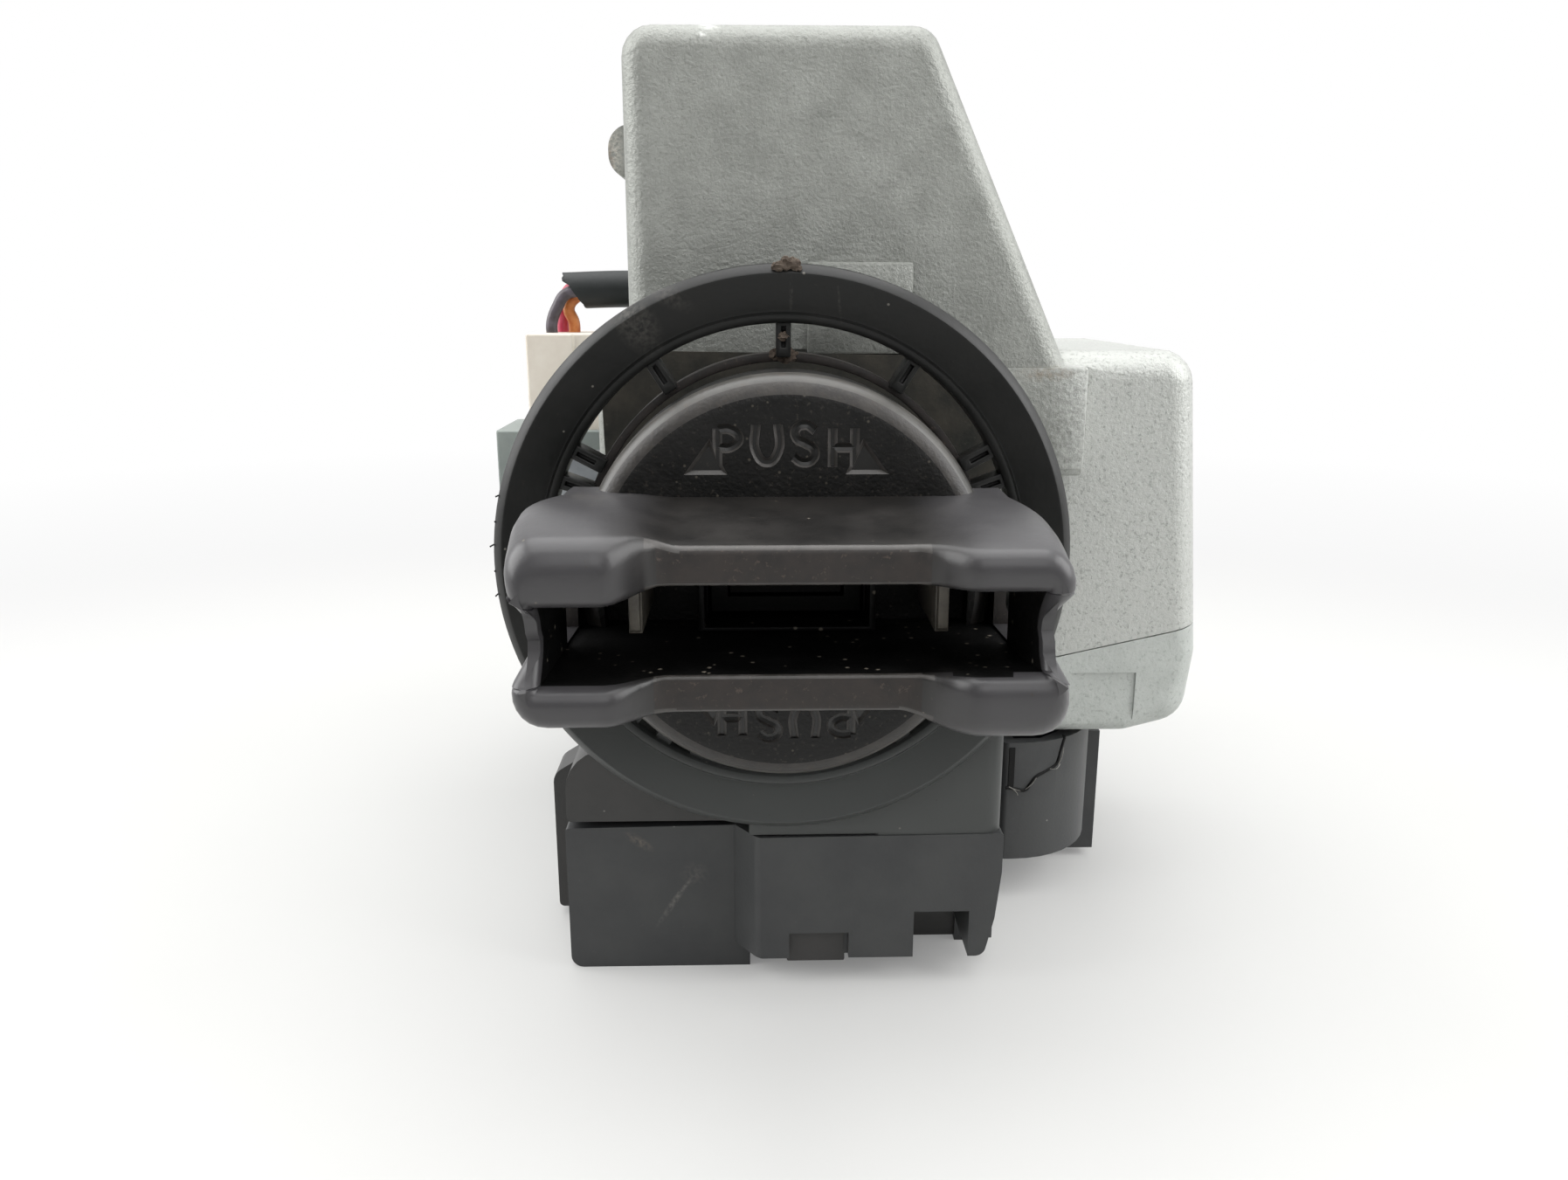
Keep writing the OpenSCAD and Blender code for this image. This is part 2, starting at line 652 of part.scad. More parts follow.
module lead_plug() {
    color("#e0d8cb")
    difference() {
        union() {
            block([socket_x - plug_w / 2, socket_x + plug_w / 2], [socket_y - 5.2, socket_y + 5.2],
                [az - 3.8, plug_top]);
            block([socket_x - 2, socket_x + 2], [socket_y + 5.2, socket_y + 6.6],
                [socket_top + 1, plug_top - 2]);
        }
        block([socket_x + 1, socket_x + 3.4], [socket_y - 6, socket_y - 4.6],
            [socket_top + 1.5, plug_top + 1]);
    }
}

// One wire leaves the sheath, bends down, leans back and goes upright into the plug.
module wire(x, dy, dz, lean) {
    z = sheath_z + dz;
    bend = sheath_x - 0.4 - x;
    low = [x + bend * (1 - cos(lean)), z - bend * (1 + sin(lean))];
    end_x = low[0] + (low[1] - plug_top - 0.8) * tan(lean);
    line = concat([[sheath_x, z]], arc([x + bend, z - bend], bend, 90, 180 + lean, 8),
        [[end_x, plug_top + 0.8], [end_x, plug_top]]);
    sweep([for (p = line) [p[0], sheath_y + dy, p[1]]], wire_d / 2, 8, [0, 1, 0]);
}

module lead_wire_red() {
    color("#b0304a") wire(socket_x - 2.3, 1.52, 0.3, 20);
}

module lead_wire_orange() {
    color("#c8703a") wire(socket_x - 2.3, 0, -0.2, 42);
}

module lead_wire_grey() {
    color("#4a4446") wire(socket_x - 2.5, -1.52, 0.1, 3);
}

module lead_sheath() {
    start = [sheath_x, sheath_y, sheath_z];
    reach = [feed[0], feed[1] + 1.6, feed[2]] - start;
    sag = [[0.01, 0, 0], [0.15, 0, -0.02], [0.35, 0, 0], [0.6, 0, 0.1], [0.8, 0.08, 0.32], [0.94, 0.23, 0.68],
        [0.997, 0.58, 0.95], [1, 0.9, 1]];
    color("#2b3032")
    sweep(concat([start],
        route([for (s = sag) start + [s[0] * reach[0], s[1] * reach[1], s[2] * reach[2]]], 3),
        [start + reach]), sheath_d / 2, 10, [1, 1, 1]);
}

module lead_grommet() {
    color("#1c1c1c") {
        rod_y(3.6, feed[1], feed[1] + 1.6, feed[0], feed[2]);
        rod_y(2.55, feed[1] - 6, feed[1] + 0.5, feed[0], feed[2]);
    }
}

// Interlock

module solenoid_frame() {
    depth = [flange_y - coil_r, flange_y + coil_r];
    color("#7d8388")
    difference() {
        union() {
            block([coil_x0 - 1.6, coil_x0 - 0.1], depth, [az - coil_r, den_top - 0.1]);
            block([coil_x1 + 0.1, coil_x1 + 1.6], depth, [az - coil_r, den_top - 0.1]);
            block([coil_x0 - 1.6, coil_x1 + 1.6], depth, [az + coil_r + 0.1, den_top - 0.1]);
        }
        rod_x(plunger_r + 0.2, coil_x0 - 3, coil_x0 + 1, flange_y, az);
    }
}

module solenoid_coil() {
    color("#a8623a")
    difference() {
        union() {
            rod_x(coil_r - 0.7, coil_x0, coil_x1, flange_y, az);
            rod_x(coil_r, coil_x0, coil_x0 + 1.2, flange_y, az);
            rod_x(coil_r, coil_x1 - 1.2, coil_x1, flange_y, az);
        }
        rod_x(plunger_r + 1.2, coil_x0 - 1, coil_x1 + 1, flange_y, az);
    }
}

module solenoid_plunger() {
    color("#b4b8bb")
    difference() {
        union() {
            rod_x(plunger_r, tip_x, coil_x0 + 2, flange_y, az);
            rod_x(plunger_r + 1, coil_x0 + 1, armature_x1, flange_y, az);
        }
        for (y = [flange_y - 4, flange_y + 1])
            block([tip_x - 1, sleeve_r + 0.2], [y, y + 3], [az - 4, az + 4]);
    }
}

module plunger_spring() {
    length = coil_x1 - armature_x1 - 0.7;
    color("#c9ccce")
    translate([armature_x1 + 0.35, flange_y, az]) rotate([0, 90, 0])
        sweep(coil_line(plunger_r + 0.1, length, 4, 12), 0.3, 6, [0, 0, 1]);
}

module lock_bolt() {
    tip = -pad_left - bolt_out;
    color("#8f9499")
    difference() {
        union() {
            slab(plate_y1 - bolt_t, plate_y1)
                polygon([[tip, az - bolt_h / 2 + 1], [tip + 1, az - bolt_h / 2],
                    [-plate_left, az - bolt_h / 2], [-plate_left, az + bolt_h / 2],
                    [tip + 1, az + bolt_h / 2], [tip, az + bolt_h / 2 - 1]]);
            block([-plate_left - 0.01, plate_right], [plate_y0, plate_y1],
                [az - plate_half, az + plate_half]);
            block([lug_x, lug_x + lug_t], [cam_y0, plate_y], [az + 0.5, az + plate_half]);
        }
        slab(plate_y0 - 1, plate_y1 + 1)
            rounded_rect(-shaft_r - gap - bolt_travel, shaft_r + gap, az - shaft_r - gap,
                az + shaft_r + gap, 1);
    }
}

module bolt_spring() {
    color("#c9ccce")
    translate([plate_right + 0.45, plate_y, az]) rotate([0, 90, 0])
        sweep(coil_line(3.3, pocket_x1 - plate_right - 0.9, 6, 14), 0.45, 6, [0, 0, 1]);
}

// Rotor

module rotor() {
    low = atan2(ramp_base, ramp_low);
    color("#b3b1a8")
    difference() {
        union() {
            block([-nose_w / 2, nose_w / 2], [hollow_y, rotor_y0 + 1], [az - nose_h / 2, az + nose_h / 2]);
            rod_y(rotor_r, rotor_y0, room_y0);
            block([-key_rib, key_rib], [rotor_y0, sleeve_y1 - 2], [az - 1.5, az + 1.5]);
            translate([0, 0, az]) slab(flange_y0, flange_y1)
                polygon(concat(arc([0, 0], ramp_low - 0.05, -18, low, 6), cam_edge(ramp_base, ramp_low, 24),
                    arc([0, 0], flange_r, turn_deg + atan2(ramp_base, ramp_high) + 3, 342, 48)));
            translate([0, 0, az]) slab(room_y0 - 1, switch_y0 + 9) shaft_profile(0);
        }
        block([-key_w / 2, key_w / 2], [hollow_y - 1, flange_y0 - 3], [az - key_h / 2, az + key_h / 2]);
        for (i = [0:4]) block([-5.8, 5.8], [wafer_y(i) - 0.6, wafer_y(i) + 0.6], [az - 6.4, az + 7.2]);
        rod_x(0.45, -key_w / 2 - 0.5, key_w / 2 + 0.5, hollow_y + 1.1, az + key_h / 2 - 0.1);
        block([-key_w / 2, key_w / 2], [hollow_y + 0.7, hollow_y + 1.4 + key_h], [az, az + key_h / 2 + 0.35]);
    }
}

function wafer_y(i) = rotor_y0 + 4 + 3.3 * i;

module wafer_stack() {
    color("#c8a860")
    for (i = [0:4])
        difference() {
            block([-5.6, 5.6], [wafer_y(i) - 0.5, wafer_y(i) + 0.5], [az - 6.2, az + 6.2]);
            block([-key_w / 2 - 0.1, key_w / 2 + 0.1], [wafer_y(i) - 1, wafer_y(i) + 1],
                [az - 2.4 + 0.25 * (i % 3), az + 1.4 + 0.25 * (i % 3)]);
        }
}

module key_shutter() {
    color("#6f7376")
    union() {
        block([-key_w / 2 + 0.2, key_w / 2 - 0.2], [hollow_y + 0.8, hollow_y + 1.4],
            [az - key_h / 2 + 0.15, az + key_h / 2 - 0.1]);
        rod_x(0.4, -key_w / 2 - 0.4, key_w / 2 + 0.4, hollow_y + 1.1, az + key_h / 2 - 0.1);
    }
}

module lock_cam() {
    color("#8f9499")
    translate([0, 0, az]) slab(cam_y0, cam_y1)
        difference() {
            union() {
                circle(cam_hub_r);
                polygon(concat([[0, 0]], cam_edge(cam_base, cam_low, 20)));
            }
            shaft_profile(run);
        }
}

module switch_rotor() {
    color("#d8d4c8")
    translate([0, 0, az]) slab(switch_y0 + 4, switch_y0 + 9)
        difference() {
            circle(switch_r - wall - 1);
            shaft_profile(run);
        }
}

module moving_contact() {
    color("#c89a50")
    difference() {
        translate([0, 0, az]) slab(switch_y0 + 9, switch_y0 + 9.8)
            difference() {
                circle(switch_r - wall - 4);
                circle(shaft_r + 1);
            }
        block([-30, 30], [switch_y0 + 8, switch_y0 + 11], [az - 1, az + 1]);
    }
}

// Knob

function reversed(list) = [for (i = [0:len(list) - 1]) list[len(list) - 1 - i]];
function drawn_in(y) = grip_flare * (y - grip_y0) / grip_out;
function grip_lobe(h) =
    let (e = grip_len / 2)
    [[e - 0.7, h * 0.3], [e, h * 0.42], [e, h], [e * 0.52, h], [e * 0.42, grip_mid_h / 2]];

module grip_plan(height, points) {
    translate([0, 0, az - height / 2]) linear_extrude(height) polygon(points);
}

module knob_grip() {
    e = grip_len / 2;
    h = grip_end_h / 2;
    upper = concat(grip_lobe(grip_small_h / 2), [for (p = reversed(grip_lobe(h))) [-p[0], p[1]]]);
    radii = [0.3, 0.3, 1.6, 1.2, 1.2, 1.2, 1.2, 1.6, 0.3, 0.3];
    color("#2a2828")
    difference() {
        union() {
            turned(concat([[0, disc_y0]], arc([disc_r - 2.1, disc_y0 + 2.1], 2.1, -90, 0, 6),
                [[disc_r, disc_y1 - 0.6], [disc_r - 0.6, disc_y1], [0, disc_y1]]));
            rod_y(sleeve_r, disc_y1 - 1, sleeve_y1);
            difference() {
                slab(grip_y0, disc_y1 - 2)
                    polygon(rounded([for (p = concat(upper, -upper)) p + [0, az]], concat(radii, radii), 5));
                for (s = [-1, 1])
                    grip_plan(grip_end_h + 2, [[s * (e + 0.01), grip_y0], [s * (e + 2), grip_y0],
                        [s * (e + 2), disc_y1], [s * (e - drawn_in(disc_y1)), disc_y1]]);
                grip_plan(grip_end_h + 2, [[-e * 0.66, grip_y0 - 1], [e * 0.66, grip_y0 - 1],
                    [e * 0.48, grip_y0 + grip_dip], [-e * 0.48, grip_y0 + grip_dip]]);
            }
        }
        difference() {
            grip_plan(grip_hollow_h, [[-hollow_w, grip_y0 - 1], [hollow_w, grip_y0 - 1],
                [hollow_w - drawn_in(hollow_y), hollow_y], [drawn_in(hollow_y) - hollow_w, hollow_y]]);
            for (x = [-11.2, 11.2])
                block([x - 0.5, x + 0.5], [grip_y0 + 8.5, hollow_y + 1], [az - h, az + h]);
        }
        block([-nose_w / 2 - gap, nose_w / 2 + gap], [hollow_y - 1, bore_y + 1],
            [az - nose_h / 2 - gap, az + nose_h / 2 + gap]);
        for (x = [-13.2, 13.2]) block([x - 0.9, x + 0.9], [hollow_y - 1, disc_y1 + 1], [az - 1.6, az + 1.6]);
        for (x = [-e, e]) block([x - 5, x + 5], [grip_y0 + 8, disc_y0 - 0.6], [az - 0.8, az + 2.6]);
        rod_y(bore_r, bore_y, sleeve_y1 + 1);
        block([-key_rib - 0.2, key_rib + 0.2], [bore_y, sleeve_y1 + 1], [az - 1.7, az + 1.7]);
    }
}

module knob_spring() {
    color("#c9ccce")
    translate([0, flange_y0 - 0.45, az]) rotate([90, 0, 0])
        sweep(coil_line((rotor_r + sleeve_r) / 2, spring_len - 0.9, 5, 20), 0.45, 6, [0, 0, 1]);
}

lock_body();
body_cover();
cover_screws();
bearing_plate();
trim_ring();
antenna_coil();
module_upper_case();
module_lower_cover();
module_screws();
circuit_board();
board_parts();
connector_pod();
pod_pins();
switch_base();
switch_cap();
switch_screw_pair();
switch_blades();
lead_plug();
lead_wire_red();
lead_wire_orange();
lead_wire_grey();
lead_sheath();
lead_grommet();
solenoid_frame();
solenoid_coil();
solenoid_plunger();
plunger_spring();
lock_bolt();
bolt_spring();
rotor();
lock_cam();
switch_rotor();
moving_contact();
wafer_stack();
key_shutter();
knob_grip();
knob_spring();
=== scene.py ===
"""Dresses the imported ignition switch: worn mouldings, grey castings and a lead of three wires."""
import logging
import math
import random
from contextlib import contextmanager
from dataclasses import dataclass
from enum import Enum
from typing import Any, Callable, Iterator, Sequence

import bmesh
import bpy
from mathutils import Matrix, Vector


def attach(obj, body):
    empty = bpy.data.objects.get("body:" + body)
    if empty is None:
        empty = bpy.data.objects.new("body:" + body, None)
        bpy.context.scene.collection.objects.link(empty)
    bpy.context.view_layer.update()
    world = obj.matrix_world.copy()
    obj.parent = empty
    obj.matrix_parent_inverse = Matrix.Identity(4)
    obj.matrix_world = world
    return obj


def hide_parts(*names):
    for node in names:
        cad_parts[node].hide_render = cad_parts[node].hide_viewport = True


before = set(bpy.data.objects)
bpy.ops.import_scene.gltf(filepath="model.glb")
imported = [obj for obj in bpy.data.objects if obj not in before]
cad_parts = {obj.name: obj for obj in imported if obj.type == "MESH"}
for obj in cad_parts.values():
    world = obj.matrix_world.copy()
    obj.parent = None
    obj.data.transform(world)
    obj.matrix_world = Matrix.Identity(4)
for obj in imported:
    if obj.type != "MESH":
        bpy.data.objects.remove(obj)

LOG = logging.getLogger("ignition_switch")
MM = 0.001
AXIS_Z = 41.0
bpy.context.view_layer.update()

Point = tuple[float, float, float]
Flat = tuple[float, float]
Test = Callable[[Vector], bool]
Piece = bpy.types.Object
Tree = bpy.types.NodeTree
Socket = bpy.types.NodeSocket


# Materials

def linear(colour: str) -> tuple[float, float, float, float]:
    """Turn an sRGB hex colour into linear light.

    Args:
        colour: Six hex digits after a hash.

    Returns:
        Linear red, green, blue and full alpha.
    """
    parts = [int(colour[i:i + 2], 16) / 255 for i in (1, 3, 5)]
    red, green, blue = (
        c / 12.92 if c <= 0.04045 else ((c + 0.055) / 1.055) ** 2.4 for c in parts)
    return red, green, blue, 1.0


def put(tree: Tree, kind: str, links: dict[str | int, Any], **settings: Any) -> bpy.types.Node:
    """Add one node with its settings and links.

    Args:
        tree: The node tree that takes the node.
        kind: Blender's name for the node.
        links: For each input, the socket that feeds it or its plain value.
        settings: Plain properties of the node.

    Returns:
        The new node.
    """
    node = tree.nodes.new(kind)
    for name, value in settings.items():
        setattr(node, name, value)
    for key, value in links.items():
        if isinstance(value, Socket):
            tree.links.new(value, node.inputs[key])
        else:
            node.inputs[key].default_value = value
    return node


def per(size_mm: float) -> float:
    """Scale of a texture whose features are about this many millimetres."""
    return 1 / (size_mm * MM)


@dataclass(frozen=True)
class Relief:
    """An uneven surface: size and depth of its features in millimetres, and how broken they are."""

    size: float
    depth: float
    detail: float = 2.0
    broken: float = 0.5

    def bump(self, tree: Tree, place: Socket, under: Socket | None = None) -> Socket:
        """Add the relief to a material.

        Args:
            tree: The material's nodes.
            place: Object coordinates.
            under: Normal of a finer relief that this one lies over.

        Returns:
            The normal with the relief.
        """
        noise = put(tree, "ShaderNodeTexNoise", {
            "Vector": place, "Scale": per(self.size), "Detail": self.detail,
            "Roughness": self.broken}).outputs[0]
        links = {"Height": noise, "Strength": 1.0, "Distance": self.depth * MM}
        if under is not None:
            links["Normal"] = under
        return put(tree, "ShaderNodeBump", links).outputs[0]


class Axis(Enum):
    """Direction of a fade, with the number of its coordinate."""

    ACROSS = 0
    UP = 2


@dataclass(frozen=True)
class Fade:
    """A second colour that comes in between two distances from the origin, in millimetres."""

    colour: str
    axis: Axis
    start: float
    end: float
    most: float = 0.85

    def share(self, tree: Tree, place: Socket) -> Socket:
        """Add the fade's mask.

        Args:
            tree: The material's nodes.
            place: Object coordinates.

        Returns:
            How much of the colour shows.
        """
        along = put(tree, "ShaderNodeSeparateXYZ", {0: place}).outputs[self.axis.value]
        along = put(tree, "ShaderNodeMath", {0: along}, operation="ABSOLUTE").outputs[0]
        return put(tree, "ShaderNodeMapRange", {
            0: along, 1: self.start * MM, 2: self.end * MM, 4: self.most},
            interpolation_type="SMOOTHSTEP").outputs[0]


@dataclass(frozen=True)
class Dust:
    """A film in patches of a size in millimetres, from a level of the noise, with its cover."""

    colour: str
    size: float
    level: float
    cover: float = 0.8
    soft: float = 0.12

    def share(self, tree: Tree, place: Socket) -> Socket:
        """Add the film's mask.

        Args:
            tree: The material's nodes.
            place: Object coordinates.

        Returns:
            How much of the colour shows.
        """
        noise = put(tree, "ShaderNodeTexNoise", {
            "Vector": place, "Scale": per(self.size), "Detail": 3.0, "Roughness": 0.7}).outputs[0]
        return put(tree, "ShaderNodeMapRange", {
            0: noise, 1: self.level, 2: self.level + self.soft, 4: self.cover}).outputs[0]


@dataclass(frozen=True)
class Specks:
    """Loose grains of a size at a spacing, in millimetres."""

    colour: str
    size: float
    gap: float

    def share(self, tree: Tree, place: Socket) -> Socket:
        """Add the mask of the grains.

        Args:
            tree: The material's nodes.
            place: Object coordinates.

        Returns:
            How much of the colour shows.
        """
        cells = put(tree, "ShaderNodeTexVoronoi", {"Vector": place, "Scale": per(self.gap)}).outputs
        reach = self.size / self.gap
        return put(tree, "ShaderNodeMapRange", {
            0: cells["Distance"], 1: reach * 0.5, 2: reach, 3: 1.0, 4: 0.0}).outputs[0]


@dataclass(frozen=True)
class Mark:
    """A smudge, a scratch or a patch of painted light: its middle, half sizes and turn, in
    millimetres and degrees.
    """

    middle: Point
    long: float
    wide: float
    turn: float
    colour: str
    strength: float
    deep: float = 4.0

    def share(self, tree: Tree, place: Socket, patchy: Socket) -> Socket:
        """Add the mark's mask.

        Args:
            tree: The material's nodes.
            place: Object coordinates.
            patchy: Noise that breaks the mark up.

        Returns:
            How much of the colour shows.
        """
        local = put(tree, "ShaderNodeMapping", {
            "Vector": place, "Location": [c * MM for c in self.middle],
            "Rotation": (0, math.radians(self.turn), 0),
            "Scale": (self.long * MM, self.deep * MM, self.wide * MM)},
            vector_type="TEXTURE").outputs[0]
        away = put(tree, "ShaderNodeVectorMath", {0: local}, operation="LENGTH").outputs["Value"]
        inside = put(tree, "ShaderNodeMapRange", {
            0: away, 1: 0.2, 2: 1.0, 3: self.strength, 4: 0.0}).outputs[0]
        return put(tree, "ShaderNodeMath", {0: inside, 1: patchy}, operation="MULTIPLY").outputs[0]


@dataclass(frozen=True)
class Finish:
    """One surface: clouds of two colours under a fade, dust, specks and marks, and a relief.

    Sizes are millimetres on the real surface.
    """

    name: str
    base: str
    tint: str
    rough: float
    cloud: float
    grain: Relief
    metallic: float = 0.0
    dust: Dust | None = None
    specks: Specks | None = None
    fade: Fade | None = None
    marks: tuple[Mark, ...] = ()
    pits: Relief | None = None
    rough_spread: float = 0.08
    specular: float = 0.5

    def colour(self, tree: Tree, place: Socket, cloud: Socket) -> Socket:
        """Lay every layer of colour over the base.

        Args:
            tree: The material's nodes.
            place: Object coordinates.
            cloud: Noise of the clouds.

        Returns:
            The colour of the surface.
        """
        spread = put(tree, "ShaderNodeMapRange", {0: cloud, 1: 0.36, 2: 0.64}).outputs[0]
        layers = [(spread, self.tint)]
        layers += [(layer.share(tree, place), layer.colour)
                   for layer in (self.fade, self.dust, self.specks) if layer]
        if self.marks:
            broken = put(tree, "ShaderNodeTexNoise", {
                "Vector": place, "Scale": per(0.4), "Detail": 3.0}).outputs[0]
            patchy = put(tree, "ShaderNodeMapRange", {0: broken, 1: 0.35, 2: 0.65}).outputs[0]
            layers += [(mark.share(tree, place, patchy), mark.colour) for mark in self.marks]
        mixed: Any = linear(self.base)
        for share, tone in layers:
            mixed = put(tree, "ShaderNodeMix", {0: share, 6: mixed, 7: linear(tone)},
                        data_type="RGBA").outputs[2]
        return mixed

    def material(self) -> bpy.types.Material:
        """Build the finish on the first call.

        Returns:
            The material.
        """
        made = bpy.data.materials.get(self.name)
        if made:
            return made
        made = bpy.data.materials.new(self.name)
        made.use_nodes = True
        tree = made.node_tree
        tree.nodes.clear()
        place = put(tree, "ShaderNodeTexCoord", {}).outputs["Object"]
        cloud = put(tree, "ShaderNodeTexNoise", {
            "Vector": place, "Scale": per(self.cloud), "Detail": 5.0, "Roughness": 0.62}).outputs[0]
        gloss = put(tree, "ShaderNodeMapRange", {
            0: cloud, 1: 0.3, 2: 0.7, 3: self.rough - self.rough_spread,
            4: self.rough + self.rough_spread}).outputs[0]
        normal = self.grain.bump(tree, place)
        if self.pits:
            normal = self.pits.bump(tree, place, normal)
        shader = put(tree, "ShaderNodeBsdfPrincipled", {
            "Base Color": self.colour(tree, place, cloud), "Roughness": gloss, "Normal": normal,
            "Metallic": self.metallic, "Specular IOR Level": self.specular})
        put(tree, "ShaderNodeOutputMaterial", {"Surface": shader.outputs[0]})
        return made


# Zinc die casting, tumbled and dull: sandy grey with soft darker spots; the fade lightens the side
# block as painted light from the right.
ZINC = Finish(
    "zinc_die_casting", "#8b8d88", "#9a9c97", rough=0.46, metallic=0.4, cloud=4.0,
    grain=Relief(0.3, 0.045), dust=Dust("#70726d", 0.35, 0.55, 0.5),
    # Painted light: the fade makes the side block lighter, as if lit from the right.
    fade=Fade("#bec0bc", Axis.ACROSS, 24.5, 29.0), pits=Relief(0.55, 0.13, 4.0, 0.7), marks=(
        Mark((-6.2, 0.2, 85.9), 1.1, 0.4, 4, "#e9eae7", 1.0),
        Mark((-6.8, 0.0, 85.2), 0.5, 0.3, 0, "#e1e2df", 0.9),
        Mark((-4.0, 0.0, 77.0), 4.2, 1.6, 20, "#6f716d", 0.5),
        Mark((3.2, 0.0, 78.6), 3.4, 1.1, -8, "#70726e", 0.5),
        Mark((7.2, 0.0, 76.8), 2.2, 1.0, 30, "#72746f", 0.45),
        Mark((-1.4, 0.0, 73.6), 2.6, 0.9, 10, "#747671", 0.4),
        Mark((9.6, 0.0, 72.8), 1.6, 0.5, -20, "#696b67", 0.5),
        # Darker over the boss face, against the painted light of the fade.
        Mark((26.0, -2.0, 51.0), 5.0, 9.0, 0, "#6f716c", 0.9),
        Mark((24.6, 0.0, 56.2), 3.4, 0.9, 0, "#85796a", 0.6),
        # Painted light: a pale patch over the rear lug, which lies in shade.
        Mark((-17.4, 20.0, 77.5), 1.8, 5.0, 0, "#d0cbc2", 1.0),
        Mark((-17.3, 20.0, 76.4), 0.4, 2.6, 0, "#6d5a4c", 0.9)))
# Zinc cover under the joint: the same casting, painted as light as the side block, as painted light
# from the right.
ZINC_PAINTED_LIGHT = Finish(
    "zinc_cover_painted_light", "#afb3af", "#bbbfbb", rough=0.46, metallic=0.4, cloud=4.0,
    grain=Relief(0.3, 0.04), dust=Dust("#868a86", 0.4, 0.55, 0.5),
    pits=Relief(0.55, 0.08, 4.0, 0.7))
# Glass-filled nylon of the ring: satin black with a little dust, painted lighter towards the bottom
# as painted light on the lower part, which faces up.
RING_NYLON = Finish(
    "ring_glass_nylon", "#151615", "#1d1d1c", rough=0.4, cloud=6.0, grain=Relief(0.4, 0.012),
    dust=Dust("#332f2b", 0.8, 0.68), specks=Specks("#6d6a64", 0.14, 2.8), specular=0.35,
    # Painted light: lighter towards the bottom of the ring.
    fade=Fade("#464847", Axis.UP, 34.0, 20.0), marks=(
        Mark((-12.4, -11.2, 61.6), 4.0, 2.0, 58, "#5d5a55", 0.5),
        Mark((-9.6, -11.2, 63.4), 3.0, 1.0, 28, "#4c4945", 0.5),
        Mark((0.6, -11.2, 63.4), 0.2, 1.6, 0, "#4a4744", 0.7),
        Mark((4.6, -11.2, 62.6), 0.15, 2.0, -8, "#403e3b", 0.7)))
# Painted shade: a dark plate behind the ring windows stands in for the shade in the casting's
# recess; matt, without a shine.
PAINTED_SHADE_PLATE = Finish(
    "painted_shade_plate", "#30312e", "#48453f", rough=0.85, cloud=5.0, grain=Relief(0.3, 0.03),
    dust=Dust("#5a564e", 0.5, 0.66), specular=0.2)
# Edges of the grip's front and of the letters: ABS rubbed grey and a little shiny, part wear and
# part painted highlight along the rounded edges.
EDGE_ABS = Finish(
    "grip_edge_wear_and_highlight", "#34322f", "#454240", rough=0.36, cloud=1.5, grain=Relief(0.3, 0.01),
    dust=Dust("#5b554d", 0.5, 0.64))
# Textured ABS of the knob face: deep black, with dust held in its grain.
KNOB_ABS = Finish(
    "knob_textured_abs", "#0a0a09", "#131211", rough=0.46, cloud=3.0, grain=Relief(0.3, 0.06),
    dust=Dust("#36322d", 0.5, 0.58), specks=Specks("#46423b", 0.14, 1.1), specular=0.3)
# The grip: the same ABS rubbed satin by fingers, greyer towards its ends.
GRIP_ABS = Finish(
    "grip_worn_abs", "#161514", "#201e1c", rough=0.34, cloud=6.0, grain=Relief(0.5, 0.012),
    dust=Dust("#3a352f", 0.6, 0.66), specks=Specks("#6a655c", 0.13, 2.6), rough_spread=0.06,
    fade=Fade("#414042", Axis.ACROSS, 8.5, 14.0))
# Rounded edge of the knob face: worn smooth, and grey as a painted highlight from the top light.
RIM_WEAR_AND_HIGHLIGHT = Finish(
    "knob_rim_wear_and_highlight", "#3a3936", "#4b4945", rough=0.36, cloud=3.0, grain=Relief(0.4, 0.012),
    dust=Dust("#453f39", 0.7, 0.58))
# The same edge where it turns into the textured face: half worn, with a weaker painted highlight.
RIM_BLEND = Finish(
    "knob_rim_blend", "#2a2827", "#3a3734", rough=0.42, cloud=2.0, grain=Relief(0.3, 0.03),
    dust=Dust("#38332e", 0.6, 0.56), specular=0.4)
# Flats of the grip's front and the ring's hub: brown dust has settled and dulls them.
RIM_DUST = Finish(
    "grip_dusty_rim", "#1d1917", "#2b2522", rough=0.6, cloud=1.6, grain=Relief(0.3, 0.02),
    dust=Dust("#483d36", 0.5, 0.6))
# Painted shade: near black for the inside of the grip and the nose frame, and for the dark fillers
# in the crack and by the pod, with loose pale dust.
PAINTED_SHADE_BLACK = Finish(
    "painted_shade_black_abs", "#050505", "#090909", rough=0.5, cloud=4.0, grain=Relief(0.3, 0.02),
    dust=Dust("#24221f", 0.5, 0.66), specks=Specks("#7d776c", 0.2, 1.4), specular=0.25)
# Hooks in the grip: ABS with pale wear and dust.
RUBBED_ABS = Finish(
    "rubbed_abs_edges", "#56524b", "#726d64", rough=0.5, cloud=1.5, grain=Relief(0.3, 0.01))
# Floors of the sunk lettering: black and a little glossier than the face.
STROKE_ABS = Finish(
    "lettering_abs", "#0e0e0d", "#191816", rough=0.32, cloud=1.2, grain=Relief(0.3, 0.01),
    dust=Dust("#4a463f", 0.5, 0.64))
